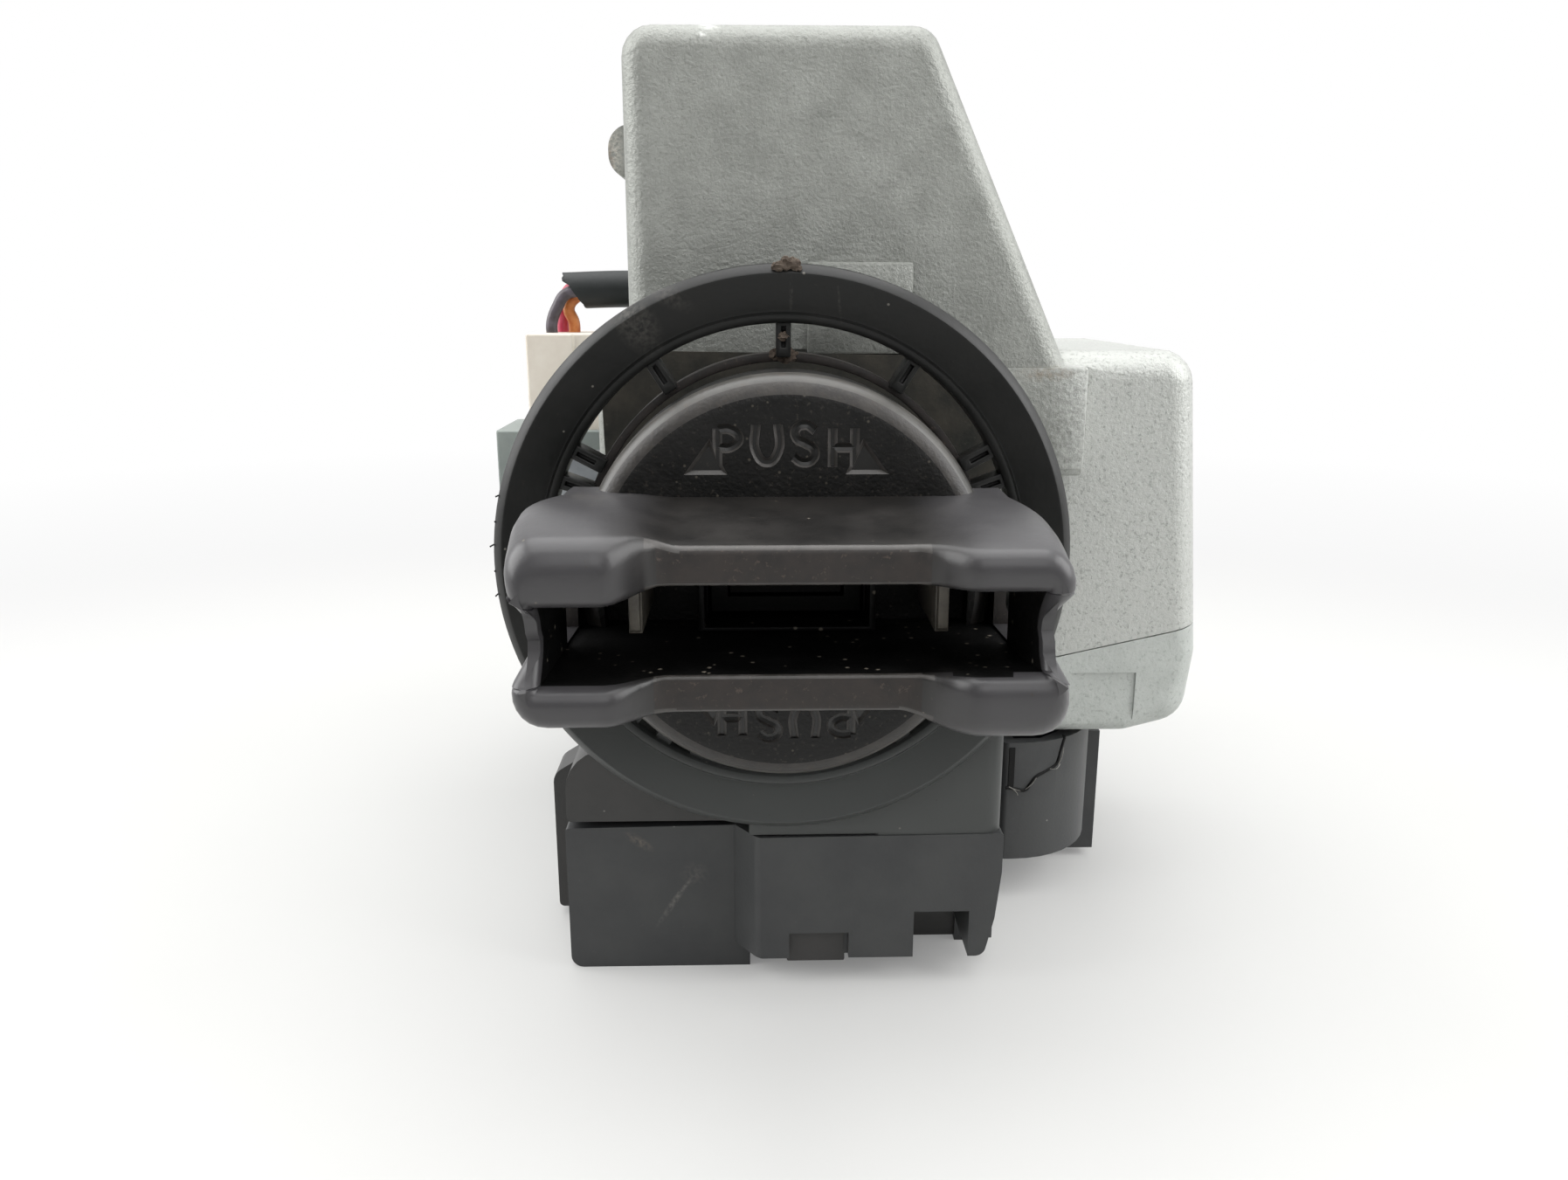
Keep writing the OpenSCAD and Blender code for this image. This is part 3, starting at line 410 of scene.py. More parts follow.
# Mineral-filled nylon of the module: matt charcoal with smudges and dust.
CASE_NYLON = Finish(
    "module_filled_nylon", "#373839", "#404141", rough=0.46, cloud=8.0, grain=Relief(0.3, 0.012),
    dust=Dust("#4b4b4a", 0.7, 0.68), specks=Specks("#7d7c78", 0.12, 3.2), rough_spread=0.06,
    specular=0.4, marks=(
        Mark((-10.6, -8.1, 6.6), 3.2, 0.35, -56, "#77756f", 0.55),
        Mark((-9.6, -8.1, 8.2), 2.6, 0.25, -50, "#6b6965", 0.5),
        Mark((-13.6, -8.1, 13.2), 1.8, 0.6, 35, "#6f675c", 0.6),
        Mark((-8.4, -8.1, 9.8), 1.6, 1.4, 0, "#5f5d58", 0.4)))
# Upper half of the same module: a shade darker.
CASE_DARK = Finish(
    "module_upper_nylon", "#343433", "#3d3c3b", rough=0.46, cloud=8.0, grain=Relief(0.3, 0.012),
    dust=Dust("#464543", 0.6, 0.68), specks=Specks("#6b6a66", 0.12, 3.4), rough_spread=0.06,
    specular=0.4)
# Torn nylon along the crack: pale, fibrous and dull.
CRACK_FIBRE = Finish(
    "torn_nylon_fibre", "#8d8b85", "#6d6b66", rough=0.7, cloud=0.8, grain=Relief(0.2, 0.02))
# Natural nylon of the lead plug: cream and slightly waxy.
CREAM_NYLON = Finish(
    "cream_nylon", "#e4ddd1", "#dad1c4", rough=0.45, cloud=5.0, grain=Relief(0.5, 0.01),
    dust=Dust("#b7ab9b", 0.8, 0.72))
# Nylon of the switch behind: grey-green, dull and dusty.
SWITCH_NYLON = Finish(
    "switch_nylon", "#7f8683", "#8c938f", rough=0.5, cloud=6.0, grain=Relief(0.4, 0.012),
    dust=Dust("#6a6c68", 0.6, 0.68), specular=0.4)
# Heat-shrink sleeve: soft black with a faint blue-green cast.
SLEEVE = Finish(
    "shrink_sleeve", "#171b1b", "#1f2323", rough=0.5, cloud=3.0, grain=Relief(0.6, 0.02),
    specular=0.4)
# Rubber of the cable grommet: dull black.
RUBBER = Finish(
    "grommet_rubber", "#1a1a1a", "#242424", rough=0.7, cloud=3.0, grain=Relief(0.4, 0.02))
# PVC wire insulation in three colours: smooth, with a soft shine.
PVC = Relief(0.4, 0.005)
WIRE_RED = Finish("pvc_red", "#b0304a", "#c8556a", rough=0.38, cloud=1.5, grain=PVC)
WIRE_ORANGE = Finish("pvc_orange", "#c4682f", "#d88a4e", rough=0.38, cloud=1.5, grain=PVC)
WIRE_GREY = Finish("pvc_dark_grey", "#453f42", "#58525a", rough=0.4, cloud=1.5, grain=PVC)
# Zinc-plated steel of screws and bolt: bright grey with a faint grain.
STEEL = Finish(
    "plated_steel", "#9a9ea1", "#8a8e92", rough=0.34, metallic=0.9, cloud=3.0,
    grain=Relief(0.2, 0.006))
# Drawn spring wire: the brightest metal here.
SPRING_WIRE = Finish(
    "spring_wire", "#b9bdc0", "#a6abae", rough=0.3, metallic=0.95, cloud=2.0,
    grain=Relief(0.2, 0.004))
# Stamped brass of contacts and wafers: yellow, a little dulled.
BRASS = Finish(
    "contact_brass", "#b9975a", "#a5844b", rough=0.33, metallic=0.9, cloud=2.0,
    grain=Relief(0.2, 0.006))
# Enamelled copper winding: brown-red under a clear coat.
COPPER = Finish(
    "enamelled_copper", "#9c5a35", "#86482a", rough=0.35, metallic=0.8, cloud=1.0,
    grain=Relief(0.2, 0.01))
# Glass-epoxy board: glossy green resist.
BOARD = Finish(
    "board_resist", "#2f6b3f", "#285c36", rough=0.35, cloud=4.0, grain=Relief(0.6, 0.008))
# Moulded chips on the board: matt black.
CHIP_EPOXY = Finish(
    "chip_epoxy", "#1b1d1f", "#26282a", rough=0.5, cloud=3.0, grain=Relief(0.3, 0.01))
# Acetal of the inner switch rotor: pale and smooth.
ACETAL = Finish(
    "pale_acetal", "#d8d4c8", "#cdc8ba", rough=0.4, cloud=4.0, grain=Relief(0.5, 0.006))
# Nose of the key cylinder: zinc painted near black as the shade deep in the knob's hollow, with
# dust.
NOSE_PAINTED_SHADE = Finish(
    "nose_zinc_painted_shade", "#0b0b0a", "#151412", rough=0.5, metallic=0.2, cloud=2.0,
    grain=Relief(0.3, 0.02), dust=Dust("#2a2622", 0.6, 0.64), specular=0.3)
# Dried dirt: crumbly brown without a shine.
DIRT = Finish("dried_dirt", "#4a4038", "#5f544a", rough=0.9, cloud=0.8, grain=Relief(0.25, 0.06))


# Bench tools

class Part(Enum):
    """What a selection is made of."""

    FACE = "FACE"
    EDGE = "EDGE"


def clear_selection() -> None:
    """Leave edit mode and deselect everything."""
    if bpy.context.object and bpy.context.object.mode != "OBJECT":
        bpy.ops.object.mode_set(mode="OBJECT")
    bpy.ops.object.select_all(action="DESELECT")


def focus(obj: Piece) -> None:
    """Select one object alone and make it active.

    Args:
        obj: The object.
    """
    clear_selection()
    obj.select_set(True)
    bpy.context.view_layer.objects.active = obj


@contextmanager
def editing(obj: Piece) -> Iterator[None]:
    """Hold one object in edit mode, with all of it selected.

    Args:
        obj: The object.

    Yields:
        Nothing, while the object is open.
    """
    focus(obj)
    bpy.ops.object.mode_set(mode="EDIT")
    bpy.ops.mesh.select_all(action="SELECT")
    yield
    bpy.ops.object.mode_set(mode="OBJECT")


def settle(obj: Piece) -> Piece:
    """Move an object's place into its mesh.

    Args:
        obj: The object.

    Returns:
        The same object, at the origin.
    """
    focus(obj)
    bpy.ops.object.transform_apply(location=True, rotation=True, scale=True)
    return obj


def stand(name: str, data: bpy.types.ID) -> Piece:
    """Put a mesh, curve, lamp or camera into the scene.

    Args:
        name: Name of the object.
        data: What it shows.

    Returns:
        The new object.
    """
    obj = bpy.data.objects.new(name, data)
    bpy.context.scene.collection.objects.link(obj)
    return obj


def mesh_object(name: str, points: Sequence[Sequence[float]], edges: Sequence[Sequence[int]],
                faces: Sequence[Sequence[int]]) -> Piece:
    """Start a mesh from points in millimetres.

    Args:
        name: Name of the piece.
        points: Points in millimetres.
        edges: Pairs of point numbers.
        faces: Rings of point numbers.

    Returns:
        The new object, in the scene.
    """
    mesh = bpy.data.meshes.new(name)
    mesh.from_pydata([tuple(c * MM for c in p) for p in points], edges, faces)
    return stand(name, mesh)


def pick(obj: Piece, part: Part, test: Test) -> None:
    """In edit mode, select the faces or edges whose middle passes a test in millimetres.

    Args:
        obj: The object in edit mode.
        part: Faces or edges.
        test: Says whether a middle point is wanted.
    """
    bpy.ops.mesh.select_mode(type=part.value)
    bpy.ops.mesh.select_all(action="DESELECT")
    shape = bmesh.from_edit_mesh(obj.data)
    if part is Part.FACE:
        for face in shape.faces:
            face.select = test(face.calc_center_median() / MM)
    else:
        for edge in shape.edges:
            edge.select = test((edge.verts[0].co + edge.verts[1].co) / 2 / MM)
    shape.select_flush_mode()
    bmesh.update_edit_mesh(obj.data)


def clean(obj: Piece, dissolve_deg: float = 0.0, outside: bool = True) -> None:
    """Merge doubles, dissolve flat edges if asked and turn the faces outwards.

    Args:
        obj: The piece.
        dissolve_deg: Angle under which edges are dissolved, or 0 for none.
        outside: Whether the normals are recalculated.
    """
    with editing(obj):
        bpy.ops.mesh.remove_doubles(threshold=0.002 * MM)
        if dissolve_deg:
            bpy.ops.mesh.dissolve_limited(angle_limit=math.radians(dissolve_deg))
        if outside:
            bpy.ops.mesh.normals_make_consistent(inside=False)


def smooth(obj: Piece, angle_deg: float = 35.0) -> None:
    """Shade smoothly across edges flatter than this angle."""
    focus(obj)
    bpy.ops.object.shade_smooth_by_angle(angle=math.radians(angle_deg))


def modify(obj: Piece, kind: str, **settings: Any) -> None:
    """Add one modifier and apply it.

    Args:
        obj: The piece.
        kind: Blender's name for the modifier.
        settings: Plain properties of the modifier.
    """
    focus(obj)
    step = obj.modifiers.new(kind.lower(), kind)
    for name, value in settings.items():
        setattr(step, name, value)
    bpy.ops.object.modifier_apply(modifier=step.name)


def soften(obj: Piece, width_mm: float, segments: int = 2, angle_deg: float = 40.0) -> None:
    """Round the sharp edges as a mould or a tumbler leaves them.

    Args:
        obj: The piece.
        width_mm: Width of the rounding.
        segments: Steps across it.
        angle_deg: Edges sharper than this are rounded.
    """
    modify(obj, "BEVEL", width=width_mm * MM, segments=segments, limit_method="ANGLE",
           angle_limit=math.radians(angle_deg), use_clamp_overlap=True)


def brick(name: str, low: Point, high: Point, width_mm: float = 0.0) -> Piece:
    """Add a box between two corners.

    Args:
        name: Name of the piece.
        low: Lowest corner in millimetres.
        high: Highest corner in millimetres.
        width_mm: Rounding of the edges, 0 for a plain cutter.

    Returns:
        The box.
    """
    clear_selection()
    middle = [(a + b) / 2 * MM for a, b in zip(low, high)]
    bpy.ops.mesh.primitive_cube_add(size=1, location=middle)
    obj = bpy.context.object
    obj.name = name
    obj.scale = [(b - a) * MM for a, b in zip(low, high)]
    settle(obj)
    if width_mm:
        soften(obj, width_mm)
    return obj


def carve(obj: Piece, cutter: Piece) -> None:
    """Cut one piece out of another and drop the cutter."""
    modify(obj, "BOOLEAN", operation="DIFFERENCE", object=cutter, solver="EXACT")
    bpy.data.objects.remove(cutter)


def spin(name: str, profile: Sequence[Flat], steps: int = 128) -> Piece:
    """Turn a profile about the knob axis.

    Args:
        name: Name of the piece.
        profile: Radius and depth of each point in millimetres.
        steps: Facets around.

    Returns:
        The turned piece.
    """
    points = [(r, y, AXIS_Z) for r, y in profile]
    obj = mesh_object(name, points, [(i, i + 1) for i in range(len(points) - 1)], [])
    with editing(obj):
        bpy.ops.mesh.spin(steps=steps, angle=2 * math.pi, center=(0, 0, AXIS_Z * MM),
                          axis=(0, 1, 0))
    clean(obj)
    return obj


def loft(name: str, rings: Sequence[Sequence[Point]], capped: bool = True) -> Piece:
    """Skin a stack of rings that have the same number of points.

    Args:
        name: Name of the piece.
        rings: Rings in millimetres, from one end to the other.
        capped: Whether both ends are closed.

    Returns:
        The skinned piece.
    """
    count = len(rings[0])
    points = [p for ring in rings for p in ring]
    faces: list[Sequence[int]] = []
    for j in range(len(rings) - 1):
        for i in range(count):
            k = (i + 1) % count
            faces.append((j * count + i, j * count + k, (j + 1) * count + k, (j + 1) * count + i))
    if capped:
        faces.append(list(range(count))[::-1])
        faces.append([(len(rings) - 1) * count + i for i in range(count)])
    obj = mesh_object(name, points, [], faces)
    clean(obj)
    return obj


def tube(name: str, points: Sequence[Point], radius_mm: float, sides: int = 6) -> Piece:
    """Run a round tube along a smooth route.

    Args:
        name: Name of the piece.
        points: Route in millimetres.
        radius_mm: Radius of the tube.
        sides: Roundness of the tube.

    Returns:
        The tube as a mesh.
    """
    curve = bpy.data.curves.new(name, "CURVE")
    curve.dimensions = "3D"
    curve.bevel_depth = radius_mm * MM
    curve.bevel_resolution = sides
    curve.use_fill_caps = True
    curve.resolution_u = 8
    line = curve.splines.new("BEZIER")
    line.bezier_points.add(len(points) - 1)
    for spot, point in zip(line.bezier_points, points):
        spot.co = [c * MM for c in point]
        spot.handle_left_type = spot.handle_right_type = "AUTO"
    focus(stand(name, curve))
    bpy.ops.object.convert(target="MESH")
    obj = bpy.context.object
    clean(obj)
    smooth(obj, 60)
    return obj


def round_edges(obj: Piece, width_mm: float, test: Test) -> None:
    """Round the edges whose middle passes a test in millimetres.

    Args:
        obj: The piece.
        width_mm: Width of the rounding.
        test: Says whether an edge is wanted.
    """
    with editing(obj):
        pick(obj, Part.EDGE, test)
        bpy.ops.mesh.bevel(offset=width_mm * MM, segments=4, affect="EDGES", clamp_overlap=True)


def even_light(obj: Piece) -> None:
    """Shade a merged CAD copy so that its flat faces stay flat."""
    smooth(obj, 32)
    modify(obj, "WEIGHTED_NORMAL", keep_sharp=True)


def copy_node(node: str, name: str, round_mm: float, angle_deg: float = 40.0,
              corners: Sequence[tuple[float, Test]] = ()) -> Piece:
    """Take a fresh copy of a CAD solid with moulded edges.

    Args:
        node: The CAD node.
        name: Name of the piece.
        round_mm: Rounding of its sharp edges.
        angle_deg: Edges sharper than this are rounded.
        corners: Edges with a larger rounding: its width and the test that finds them.

    Returns:
        The piece, which still has to be dressed.
    """
    obj = stand(name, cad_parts[node].data.copy())
    obj.data.materials.clear()
    clean(obj, 0.6, outside=False)
    for width_mm, test in corners:
        round_edges(obj, width_mm, test)
    soften(obj, round_mm, 2, angle_deg)
    even_light(obj)
    return obj


def unit(value: float) -> float:
    """Hold a value between 0 and 1."""
    return min(1, max(0, value))


def on_circle(radius: float, angle_deg: float) -> Flat:
    """Point on a circle about the knob axis, from the right and anticlockwise."""
    turn = math.radians(angle_deg)
    return radius * math.cos(turn), radius * math.sin(turn)


def rounded_outline(corners: Sequence[Flat], radii: Sequence[float], steps: int = 6) -> list[Flat]:
    """Round the corners of an anticlockwise outline.

    Args:
        corners: Corner points.
        radii: Radius at each corner.
        steps: Points along each arc.

    Returns:
        Points of the rounded outline.
    """
    result: list[Flat] = []
    for i, (corner, radius) in enumerate(zip(corners, radii)):
        here = Vector(corner)
        a = (Vector(corners[i - 1]) - here).normalized()
        b = (Vector(corners[(i + 1) % len(corners)]) - here).normalized()
        half = math.acos(max(-1, min(1, a.dot(b)))) / 2
        middle = here + (a + b).normalized() * radius / math.sin(half)
        first = here + a * radius / math.tan(half) - middle
        last = here + b * radius / math.tan(half) - middle
        start = math.atan2(first.y, first.x)
        sweep = (math.atan2(last.y, last.x) - start + 3 * math.pi) % (2 * math.pi) - math.pi
        for k in range(steps + 1):
            angle = start + sweep * k / steps
            result.append((middle.x + radius * math.cos(angle),
                           middle.y + radius * math.sin(angle)))
    return result


def fine_outline(outline: Sequence[Flat], step: float) -> list[Flat]:
    """Split the long straights of an outline.

    Args:
        outline: Points of the outline.
        step: About how far apart the new points are.

    Returns:
        The outline with more points.
    """
    result: list[Flat] = []
    for i, start in enumerate(outline):
        end = outline[(i + 1) % len(outline)]
        count = max(1, round(math.dist(start, end) / step))
        result += [(start[0] + (end[0] - start[0]) * k / count,
                    start[1] + (end[1] - start[1]) * k / count) for k in range(count)]
    return result


# Sub-assemblies

@dataclass
class Assembly:
    """Pieces that ride on one body."""

    body: str = "housing"
    slot: str = ""

    def dress(self, obj: Piece, finish: Finish, *nodes: str, slot: str = "") -> None:
        """Give a piece its finish, its body and the solids that it stands for.

        Args:
            obj: The piece.
            finish: Its surface.
            nodes: CAD nodes that it replaces.
            slot: Its material slot, where it isn't the assembly's own; not used.
        """
        obj.data.materials.clear()
        obj.data.materials.append(finish.material())
        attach(obj, self.body)
        if nodes:
            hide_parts(*nodes)
        LOG.info("%s on %s", obj.name, self.body)


@dataclass(frozen=True)
class Letter:
    """A sunk letter: its middle from the knob axis, and its strokes from there, in millimetres."""

    middle: Flat
    strokes: tuple[tuple[Flat, ...], ...]


LETTERS = (
    Letter((-4.5, 11.0), (
        ((-0.8, -1.5), (-0.8, 1.5)),
        ((-0.8, 1.4), (0.2, 1.4), (0.85, 0.75), (0.2, 0.05), (-0.8, 0.05)))),
    Letter((-1.5, 11.3), (
        ((-0.85, 1.5), (-0.85, -0.6), (0.0, -1.45), (0.85, -0.6), (0.85, 1.5)),)),
    Letter((1.4, 11.3), (
        ((0.8, 1.0), (0.1, 1.45), (-0.7, 1.1), (-0.6, 0.4), (0.1, 0.0), (0.75, -0.5), (0.6, -1.2),
         (-0.1, -1.45), (-0.85, -1.0)),)),
    Letter((4.4, 11.0), (
        ((-0.85, -1.5), (-0.85, 1.5)), ((0.85, -1.5), (0.85, 1.5)), ((-0.85, 0.0), (0.85, 0.0)))))


class Zone(Enum):
    """Stretch of the grip's wall on which a ring of points lies, from its back round to inside."""

    OUTSIDE = "outside wall"
    OUTER_EDGE = "outer rounding of the rim"
    INNER_EDGE = "inner rounding of the rim"
    INSIDE = "inside wall"


@dataclass
class Knob(Assembly):
    """The push-and-turn knob: round face with sunk lettering, hollow grip, shroud and hooks."""

    body: str = "knob"
    slot: str = "grip_plastic"
    face_r: float = 16.6
    face_y: float = -20.0
    back_y: float = -13.0
    fillet: float = 2.1
    sleeve_r: float = 11.5
    sleeve_y: float = 4.0
    bore_r: float = 9.3
    bore_y: float = -16.0
    grip_front: float = -36.1
    grip_root: float = 2.6
    dip: float = 3.5
    flare: float = 0.7
    half_len: float = 19.0
    small_h: float = 6.0
    full_h: float = 6.8
    mid_h: float = 5.9
    base_h: float = 7.2
    hollow_h: float = 3.2
    hollow_x: float = 14.4
    hollow_y: float = -18.0
    wall: float = 1.9
    hook_x: float = 11.2
    letter_depth: float = 0.26
    letter_lift: float = 0.17
    pointer: tuple[Flat, ...] = ((5.9, 11.8), (8.0, 8.9), (4.5, 8.9))
    pointer_middle: Flat = (6.1, 9.9)

    def build(self) -> None:
        """Build and dress the whole knob."""
        face = self.face()
        self.dress(face, KNOB_ABS, "knob_grip")
        self.shade_face(face)
        grip = self.grip()
        self.dress(grip, GRIP_ABS)
        self.shade_grip(grip)
        # Painted shade: the nose frame at the bottom of the hollow is near black.
        self.dress(self.shroud(), PAINTED_SHADE_BLACK)
        for name, x in (("grip_hook_left", -self.hook_x), ("grip_hook_right", self.hook_x)):
            self.dress(self.hook(name, x), RUBBED_ABS)

    def face(self) -> Piece:
        """Turn the round face with its sleeve, and cut the hollow, the nose window and the word.

        Returns:
            The face.
        """
        r, y, f, back = self.face_r, self.face_y, self.fillet, self.back_y
        rim = [(r - f + f * math.sin(t), y + f - f * math.cos(t))
               for t in (math.radians(a) for a in range(0, 91, 15))]
        face = spin("knob_face", [(0, y), (r * 0.4, y), (r * 0.75, y)] + rim + [
            (r, back - 0.6), (r - 0.6, back), (self.sleeve_r, back), (self.sleeve_r, self.sleeve_y),
            (self.bore_r, self.sleeve_y), (self.bore_r, self.bore_y), (0, self.bore_y)])
        carve(face, brick("hollow_cut", (-self.hollow_x, -26, AXIS_Z - self.hollow_h),
                          (self.hollow_x, self.hollow_y, AXIS_Z + self.hollow_h)))
        carve(face, brick("nose_cut", (-6.3, -19, AXIS_Z - 2.8), (6.3, -14.5, AXIS_Z + 2.8)))
        for side in (1, -1):
            for cutter in self.letters(side) + self.pointers(side):
                carve(face, cutter)
        clean(face)
        smooth(face, 30)
        return face

    def lobe(self, x: float, z: float) -> Flat:
        """Say how far a point of the outline lies in a lobe.

        Args:
            x: Distance to the right of the axis.
            z: Height over the axis.

        Returns:
            The share in any lobe, and the share in one of the two full lobes.
        """
        share = unit((abs(x) - 8.8) / 3.8)
        share = share * share * (3 - 2 * share)
        return share, share if x * z < 0 else 0.0

    def front(self, x: float, z: float) -> float:
        """Say how deep the grip's front edge lies at a point of its outline.

        Args:
            x: Distance to the right of the axis.
            z: Height over the axis.

        Returns:
            The depth in millimetres.
        """
        share, full = self.lobe(x, z)
        low = max(0, 1 - (z / 3.4) ** 2) if abs(x) > 15 else 0
        lift = self.dip * (1 - share) + 0.5 * (share - full) + 2.0 * low * share
        return self.grip_front + lift

    def drawn_in(self, y: float) -> float:
        """How far the ends are drawn in at this depth."""
        return self.flare * (y - self.grip_front) / 16

    def outline(self) -> list[Flat]:
        """Draw the grip from the front: full and small lobes, alike after half a turn.

        Returns:
            Points of the outline.
        """
        e, m = self.half_len, self.mid_h

        def corner(h: float) -> list[Flat]:
            """One lobe of this height."""
            return [(e - 1.0, h * 0.2), (e, h * 0.5), (e, h), (e * 0.55, h), (e * 0.42, m)]

        upper = corner(self.small_h) + [(-x, z) for x, z in reversed(corner(self.full_h))]
        radii = [1.2, 1.2, 2.5, 4.0, 4.0, 3.0, 3.0, 2.8, 1.2, 1.2] * 2
        return fine_outline(rounded_outline(upper + [(-x, -z) for x, z in upper], radii), 0.7)

    def station(self, zone: Zone, t: float, edge: float, out_r: float, in_r: float) -> Flat:
        """Say where a ring crosses the wall.

        Args:
            zone: The stretch of the wall.
            t: Share of a wall's depth, or turn around a rounding in radians.
            edge: Depth of the front edge.
            out_r: Outer rounding.
            in_r: Inner rounding.

        Returns:
            The depth, and the distance from the outside, or from the inside where it is negative.
        """
        inside = 1e-6
        if zone is Zone.OUTSIDE:
            root = self.face_y + self.grip_root
            return root + (edge + out_r - root) * t, 0.0
        if zone is Zone.OUTER_EDGE:
            return edge + out_r * (1 - math.sin(t)), out_r * (1 - math.cos(t))
        if zone is Zone.INNER_EDGE:
            return edge + in_r * (1 - math.sin(t)), -in_r * (1 - math.cos(t)) - inside
        return edge + in_r + (self.hollow_y - edge - in_r) * t, -inside

    def wall_point(self, zone: Zone, t: float, x: float, z: float) -> Point:
        """Find one point of a ring on the grip's wall.

        Args:
            zone: The stretch of the wall.
            t: Place on that stretch.
            x: Point of the outline, to the right of the axis.
            z: Point of the outline, over the axis.

        Returns:
            The point in millimetres.
        """
        e = self.half_len
        share, full = self.lobe(x, z)
        edge = self.front(x, z)
        room = self.wall if abs(z) < self.hollow_h else 2.6 + 1.6 * full
        out_r = min(0.55 + 1.2 * share + 0.3 * full, 0.46 * room)
        in_r = min(0.35 + 0.85 * share + 0.4 * full, 0.46 * room)
        y, across = self.station(zone, t, edge, out_r, in_r)
        # The lobes swell half-way back and flow into the broad foot on the face.
        deep = min(1.15, max(0.0, (y - edge) / (self.face_y - edge)))
        local = self.mid_h + ((self.full_h if full else self.small_h) - self.mid_h) * share
        top = unit((abs(z) / local - 0.55) / 0.4)
        flat = unit((abs(z) / local - 0.8) / 0.15)
        swell = math.sin(math.pi * min(deep, 1.0)) * share * top
        narrow = (e - self.drawn_in(y)) / e * (1 + swell * (0.09 if full else 0.05))
        foot = self.base_h + 0.3 * full
        crown = 1 + deep * (
            (foot / local - 1) * (1 - flat) + (foot / max(abs(z), 0.1) - 1) * flat)
        crown += swell * (0.7 if full else 0.4) / local
        high = self.hollow_h - 1.0 * full * max(0, 1 - (y - edge) / 7)
        wide = e - self.wall - self.drawn_in(y)
        far = Vector((x * narrow, z * crown))
        near = Vector((max(-wide, min(wide, far.x)), max(-high, min(high, z))))
        step = far - near
        reach = max(step.length, 0.01)
        spot = (far if across >= 0 else near) - step / reach * across
        return spot.x, y, AXIS_Z + spot.y

    def grip(self) -> Piece:
        """Loft the hollow grip round its wall and cut the windows in its ends.

        Returns:
            The grip.
        """
        stations = [(Zone.OUTSIDE, s / 12) for s in range(13)]
        stations += [(Zone.OUTER_EDGE, math.radians(a)) for a in (18, 36, 54, 72, 90)]
        stations += [(Zone.INNER_EDGE, math.radians(a)) for a in (90, 70, 50, 30, 0)]
        stations += [(Zone.INSIDE, s) for s in (0.12, 0.3, 0.6, 1)]
        outline = self.outline()
        rings = [[self.wall_point(zone, t, x, z) for x, z in outline] for zone, t in stations]
        grip = loft("knob_hollow_grip", rings + rings[:1], capped=False)
        for left, right in ((-21, -13.5), (13.5, 21)):
            carve(grip, brick("end_window", (left, -25, AXIS_Z - 3.0),
                              (right, -20.6, AXIS_Z + 0.8)))
        smooth(grip, 40)
        return grip

    def shade_grip(self, grip: Piece) -> None:
        """Give the hollow its near-black painted shade, the front flats their dust and the edges
        their wear and painted highlight.

        Args:
            grip: The dressed grip.
        """
        for finish in (PAINTED_SHADE_BLACK, RIM_DUST, EDGE_ABS):
            grip.data.materials.append(finish.material())
        for face in grip.data.polygons:
            x, y, z = face.center / MM - Vector((0, 0, AXIS_Z))
            edge = self.front(x, z)
            wide = self.half_len - self.wall + 0.05 - self.drawn_in(y)
            normal = face.normal
            # Painted shade: the inside of the hollow is near black.
            if abs(z) < self.hollow_h + 0.02 and abs(x) < wide and y > edge + 1.0:
                face.material_index = 1
            elif normal.y < -0.9 and (abs(x) < 9.2 or abs(z) < 2.6):
                face.material_index = 2
            elif normal.y < -0.25 and abs(normal.z) > 0.3 and abs(x) < 9.6 and y < edge + 0.6:
                face.material_index = 3

    def shroud(self) -> Piece:
        """Shape the low frame around the nose at the bottom of the hollow.

        Returns:
            The frame.
        """
        bottom = self.hollow_y
        shroud = brick("nose_shroud", (-6.9, -22.0, AXIS_Z - 3.1),
                       (6.9, bottom + 0.1, AXIS_Z + 3.1))
        carve(shroud, brick("shroud_cut", (-6.4, -23, AXIS_Z - 2.75),
                            (6.4, bottom + 1, AXIS_Z + 4)))
        soften(shroud, 0.12)
        smooth(shroud)
        return shroud

    def hook(self, name: str, x: float) -> Piece:
        """Shape one snap hook that hangs from the top of the hollow.

        Args:
            name: Name of the piece.
            x: Its middle, to the right of the axis.

        Returns:
            The hook.
        """
        top = AXIS_Z + self.hollow_h
        hook = brick(name, (x - 0.5, -27.4, top - 4.8), (x + 0.5, -17.9, top + 0.3))
        with editing(hook):
            pick(hook, Part.FACE, lambda p: p.y < -27.3)
            bpy.ops.mesh.inset(thickness=0.12 * MM)
            bpy.ops.mesh.extrude_region_move(
                TRANSFORM_OT_translate={"value": (0, -0.7 * MM, 0.3 * MM)})
        soften(hook, 0.12)
        smooth(hook)
        return hook

    def letters(self, side: int) -> list[Piece]:
        """Make round-nosed cutters for the operating word.

        Args:
            side: 1 for the word over the grip, -1 for the one upside down under it.

        Returns:
            One cutter for each stroke.
        """
        cutters = []
        for letter in LETTERS:
            x, z = letter.middle
            for stroke in letter.strokes:
                route = [(side * (x + u), self.face_y - self.letter_lift, AXIS_Z + side * (z + v))
                         for u, v in stroke]
                cutters.append(tube("letter_cut", route, self.letter_lift + self.letter_depth, 3))
        return cutters

